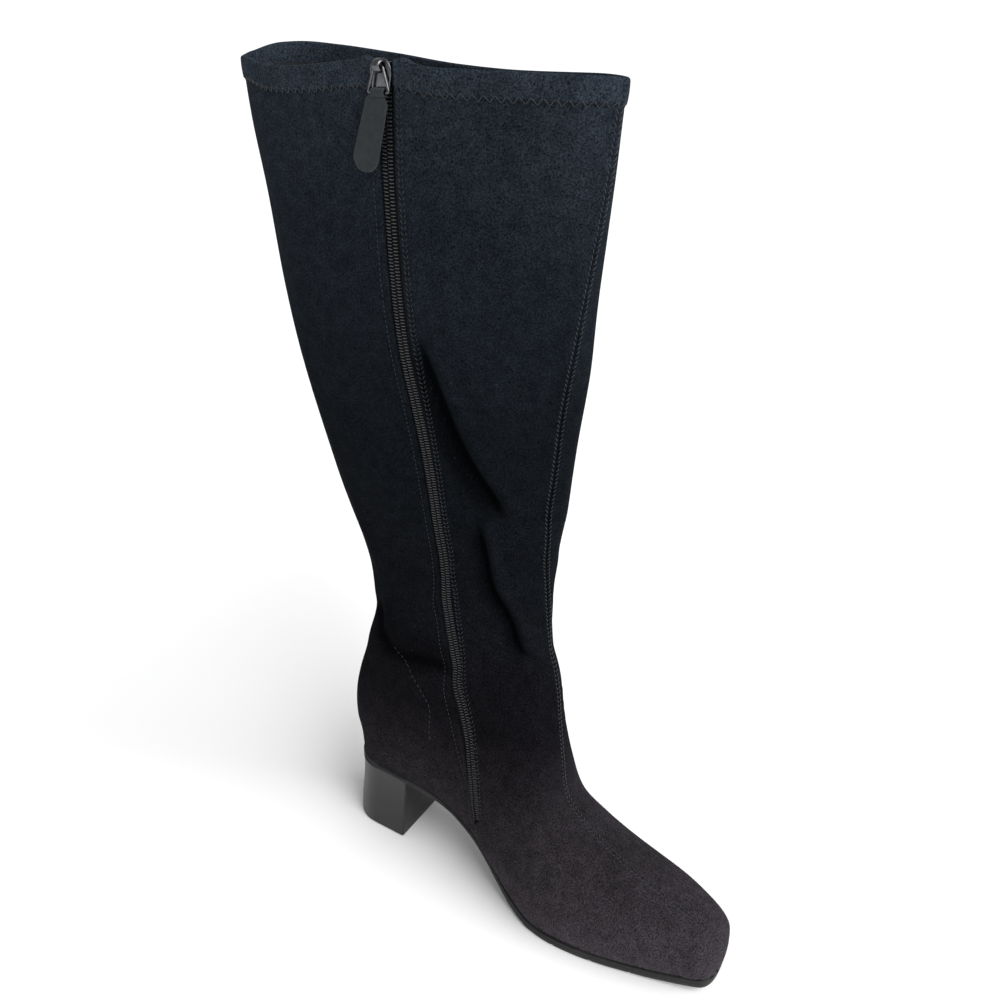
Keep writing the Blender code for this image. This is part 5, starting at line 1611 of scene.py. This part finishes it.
HEEL_ROUND_SHARE = 0.46
HEEL_CORNER_SHARE = 0.975
HEEL_CORNER = 0.0011
HEEL_RISES = np.concatenate(([0.0, 0.005, 0.014, 0.03], np.linspace(0.08, 1.0, 22)))
HEEL_SHARES = np.concatenate((HEEL_ROUND_SHARE * (1 - np.cos(np.linspace(0, math.pi / 2, 30))),
                              np.linspace(0.49, 0.965, 12), (0.975, 0.985, 0.993, 0.998, 1.0)))


def make_heel(finish):
    """The heel block: a D in plan with a flat breast and softened edges."""
    corner = np.clip((HEEL_SHARES - HEEL_CORNER_SHARE) / (1 - HEEL_CORNER_SHARE), 0, 1)
    layers = []
    for rise in HEEL_RISES:
        back_in, wider, breast = (float(curve(HEEL_SECTIONS, column)(rise)) for column in (1, 2, 3))
        along = (HEEL_BASE_LENGTH - back_in + breast) * HEEL_SHARES
        x = HEEL_BASE_BACK + back_in + along
        depth = np.clip(along / HEEL_ROUND, 0, 1)
        half = (HEEL_HALF_WIDTH + wider) * (1 - (1 - depth) ** HEEL_POWER) ** (1 / HEEL_POWER)
        half = half - HEEL_CORNER * (1 - np.sqrt(1 - corner**2))
        z = (sole_under(x) - FIT_GAP) * rise
        layers.append([np.stack((x - HEEL_MIDDLE, side * half, z), axis=-1) for side in (-1, 1)])
    mesh = facing_out(plate_sheet(layers).mesh("heel_block"))
    piece("heel_block", mesh, finish, stands_for=("heel",))


def make_floor():
    """A plain pale floor."""
    bpy.ops.mesh.primitive_plane_add(size=FLOOR_SIZE, location=(0.0, 0.0, FLOOR_HEIGHT))
    floor = bpy.context.object
    floor.name = "floor"
    pale = Finish("pale_floor", 0.9, 0.1)
    pale.feed("Base Color", pale.scaled((0.96, 0.96, 0.96), pale.varied(pale.noise(3.0, 2.0), 0.99, 1.0)))
    floor.data.materials.append(pale.material)


def make_light(name, kind, place, energy, spread):
    """A soft light aimed at the boot: a far one, or a square one with a width."""
    data = bpy.data.lights.new(name, kind)
    data.energy = energy
    if kind == "SUN":
        data.angle = math.radians(spread)
    else:
        data.size = spread
    light = bpy.data.objects.new(name, data)
    bpy.context.scene.collection.objects.link(light)
    light.location = place
    aim = Vector(LIGHT_AIM) - Vector(place)
    light.rotation_euler = aim.to_track_quat("-Z", "Y").to_euler()


def make_world(shown, strength):
    """White surroundings, with their own brightness as light."""
    world = bpy.data.worlds.new("soft_white")
    world.use_nodes = True
    nodes, links = world.node_tree.nodes, world.node_tree.links
    sky = nodes["Background"]
    sky.inputs["Color"].default_value = (1.0, 1.0, 1.0, 1.0)
    path = nodes.new("ShaderNodeLightPath")
    level = nodes.new("ShaderNodeMapRange")
    links.new(path.outputs["Is Camera Ray"], level.inputs["Value"])
    level.inputs["To Min"].default_value = strength
    level.inputs["To Max"].default_value = shown
    links.new(level.outputs["Result"], sky.inputs["Strength"])
    bpy.context.scene.world = world


def make_camera():
    """The photo's viewpoint, turned so that the one boot fills the frame."""
    data = bpy.data.cameras.new("camera")
    data.lens = CAMERA_LENS
    data.sensor_width = SENSOR
    data.clip_start = 0.01
    camera = bpy.data.objects.new("camera", data)
    bpy.context.scene.collection.objects.link(camera)
    heading, pitch = math.radians(CAMERA_HEADING), math.radians(CAMERA_PITCH)
    level = math.cos(pitch)
    aim = Vector((-math.sin(heading) * level, math.cos(heading) * level, -math.sin(pitch)))
    look = aim.to_track_quat("-Z", "Y").to_matrix().to_4x4()
    roll = Matrix.Rotation(math.radians(CAMERA_ROLL), 4, "Z")
    across, up = (math.radians(angle) for angle in CAMERA_TURN)
    turn = Matrix.Rotation(across, 4, "Y") @ Matrix.Rotation(up, 4, "X")
    camera.matrix_world = Matrix.Translation(CAMERA_PLACE) @ look @ roll @ turn
    bpy.context.scene.camera = camera


def zip_u_at(height):
    """Place u where the zip is at a height, near the collar."""
    us = np.linspace(COLLAR_U - 3, COLLAR_U, 400)
    return float(np.interp(height, outer_points(us, ZIP_V)[:, 2], us))


def main():
    """Dresses the boot."""
    bpy.context.scene.view_settings.view_transform = "Standard"
    make_camera()
    make_world(SKY_SHOWN, SKY_LIGHT)
    for light in LIGHTS:
        make_light(*light)
    make_floor()
    lining = woven("insole_lining")
    thread = twisted("sewing_thread")
    metal = polished_metal()
    slider = slider_frame()
    hinge = hinge_frame(slider)
    make_upper(stretch_fabric())
    make_lining(lining)
    make_tape(woven("zip_tape_weave"))
    make_teeth(coil_nylon(), zip_u_at(slider.translation.z - SLIDER_LENGTH))
    make_hem_stitches(thread)
    make_seam_stitches(thread)
    make_zip_stitches(twisted("zip_thread"))
    make_counter_stitches(twisted("foot_thread"))
    make_slider(metal, slider)
    make_ring(metal, hinge)
    make_tab(pull_leather(), twisted("tab_thread"), hinge)
    make_outsole(sole_rubber())
    make_heel(heel_finish())
    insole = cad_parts["insole"]
    insole.data.materials.clear()
    insole.data.materials.append(lining)


main()
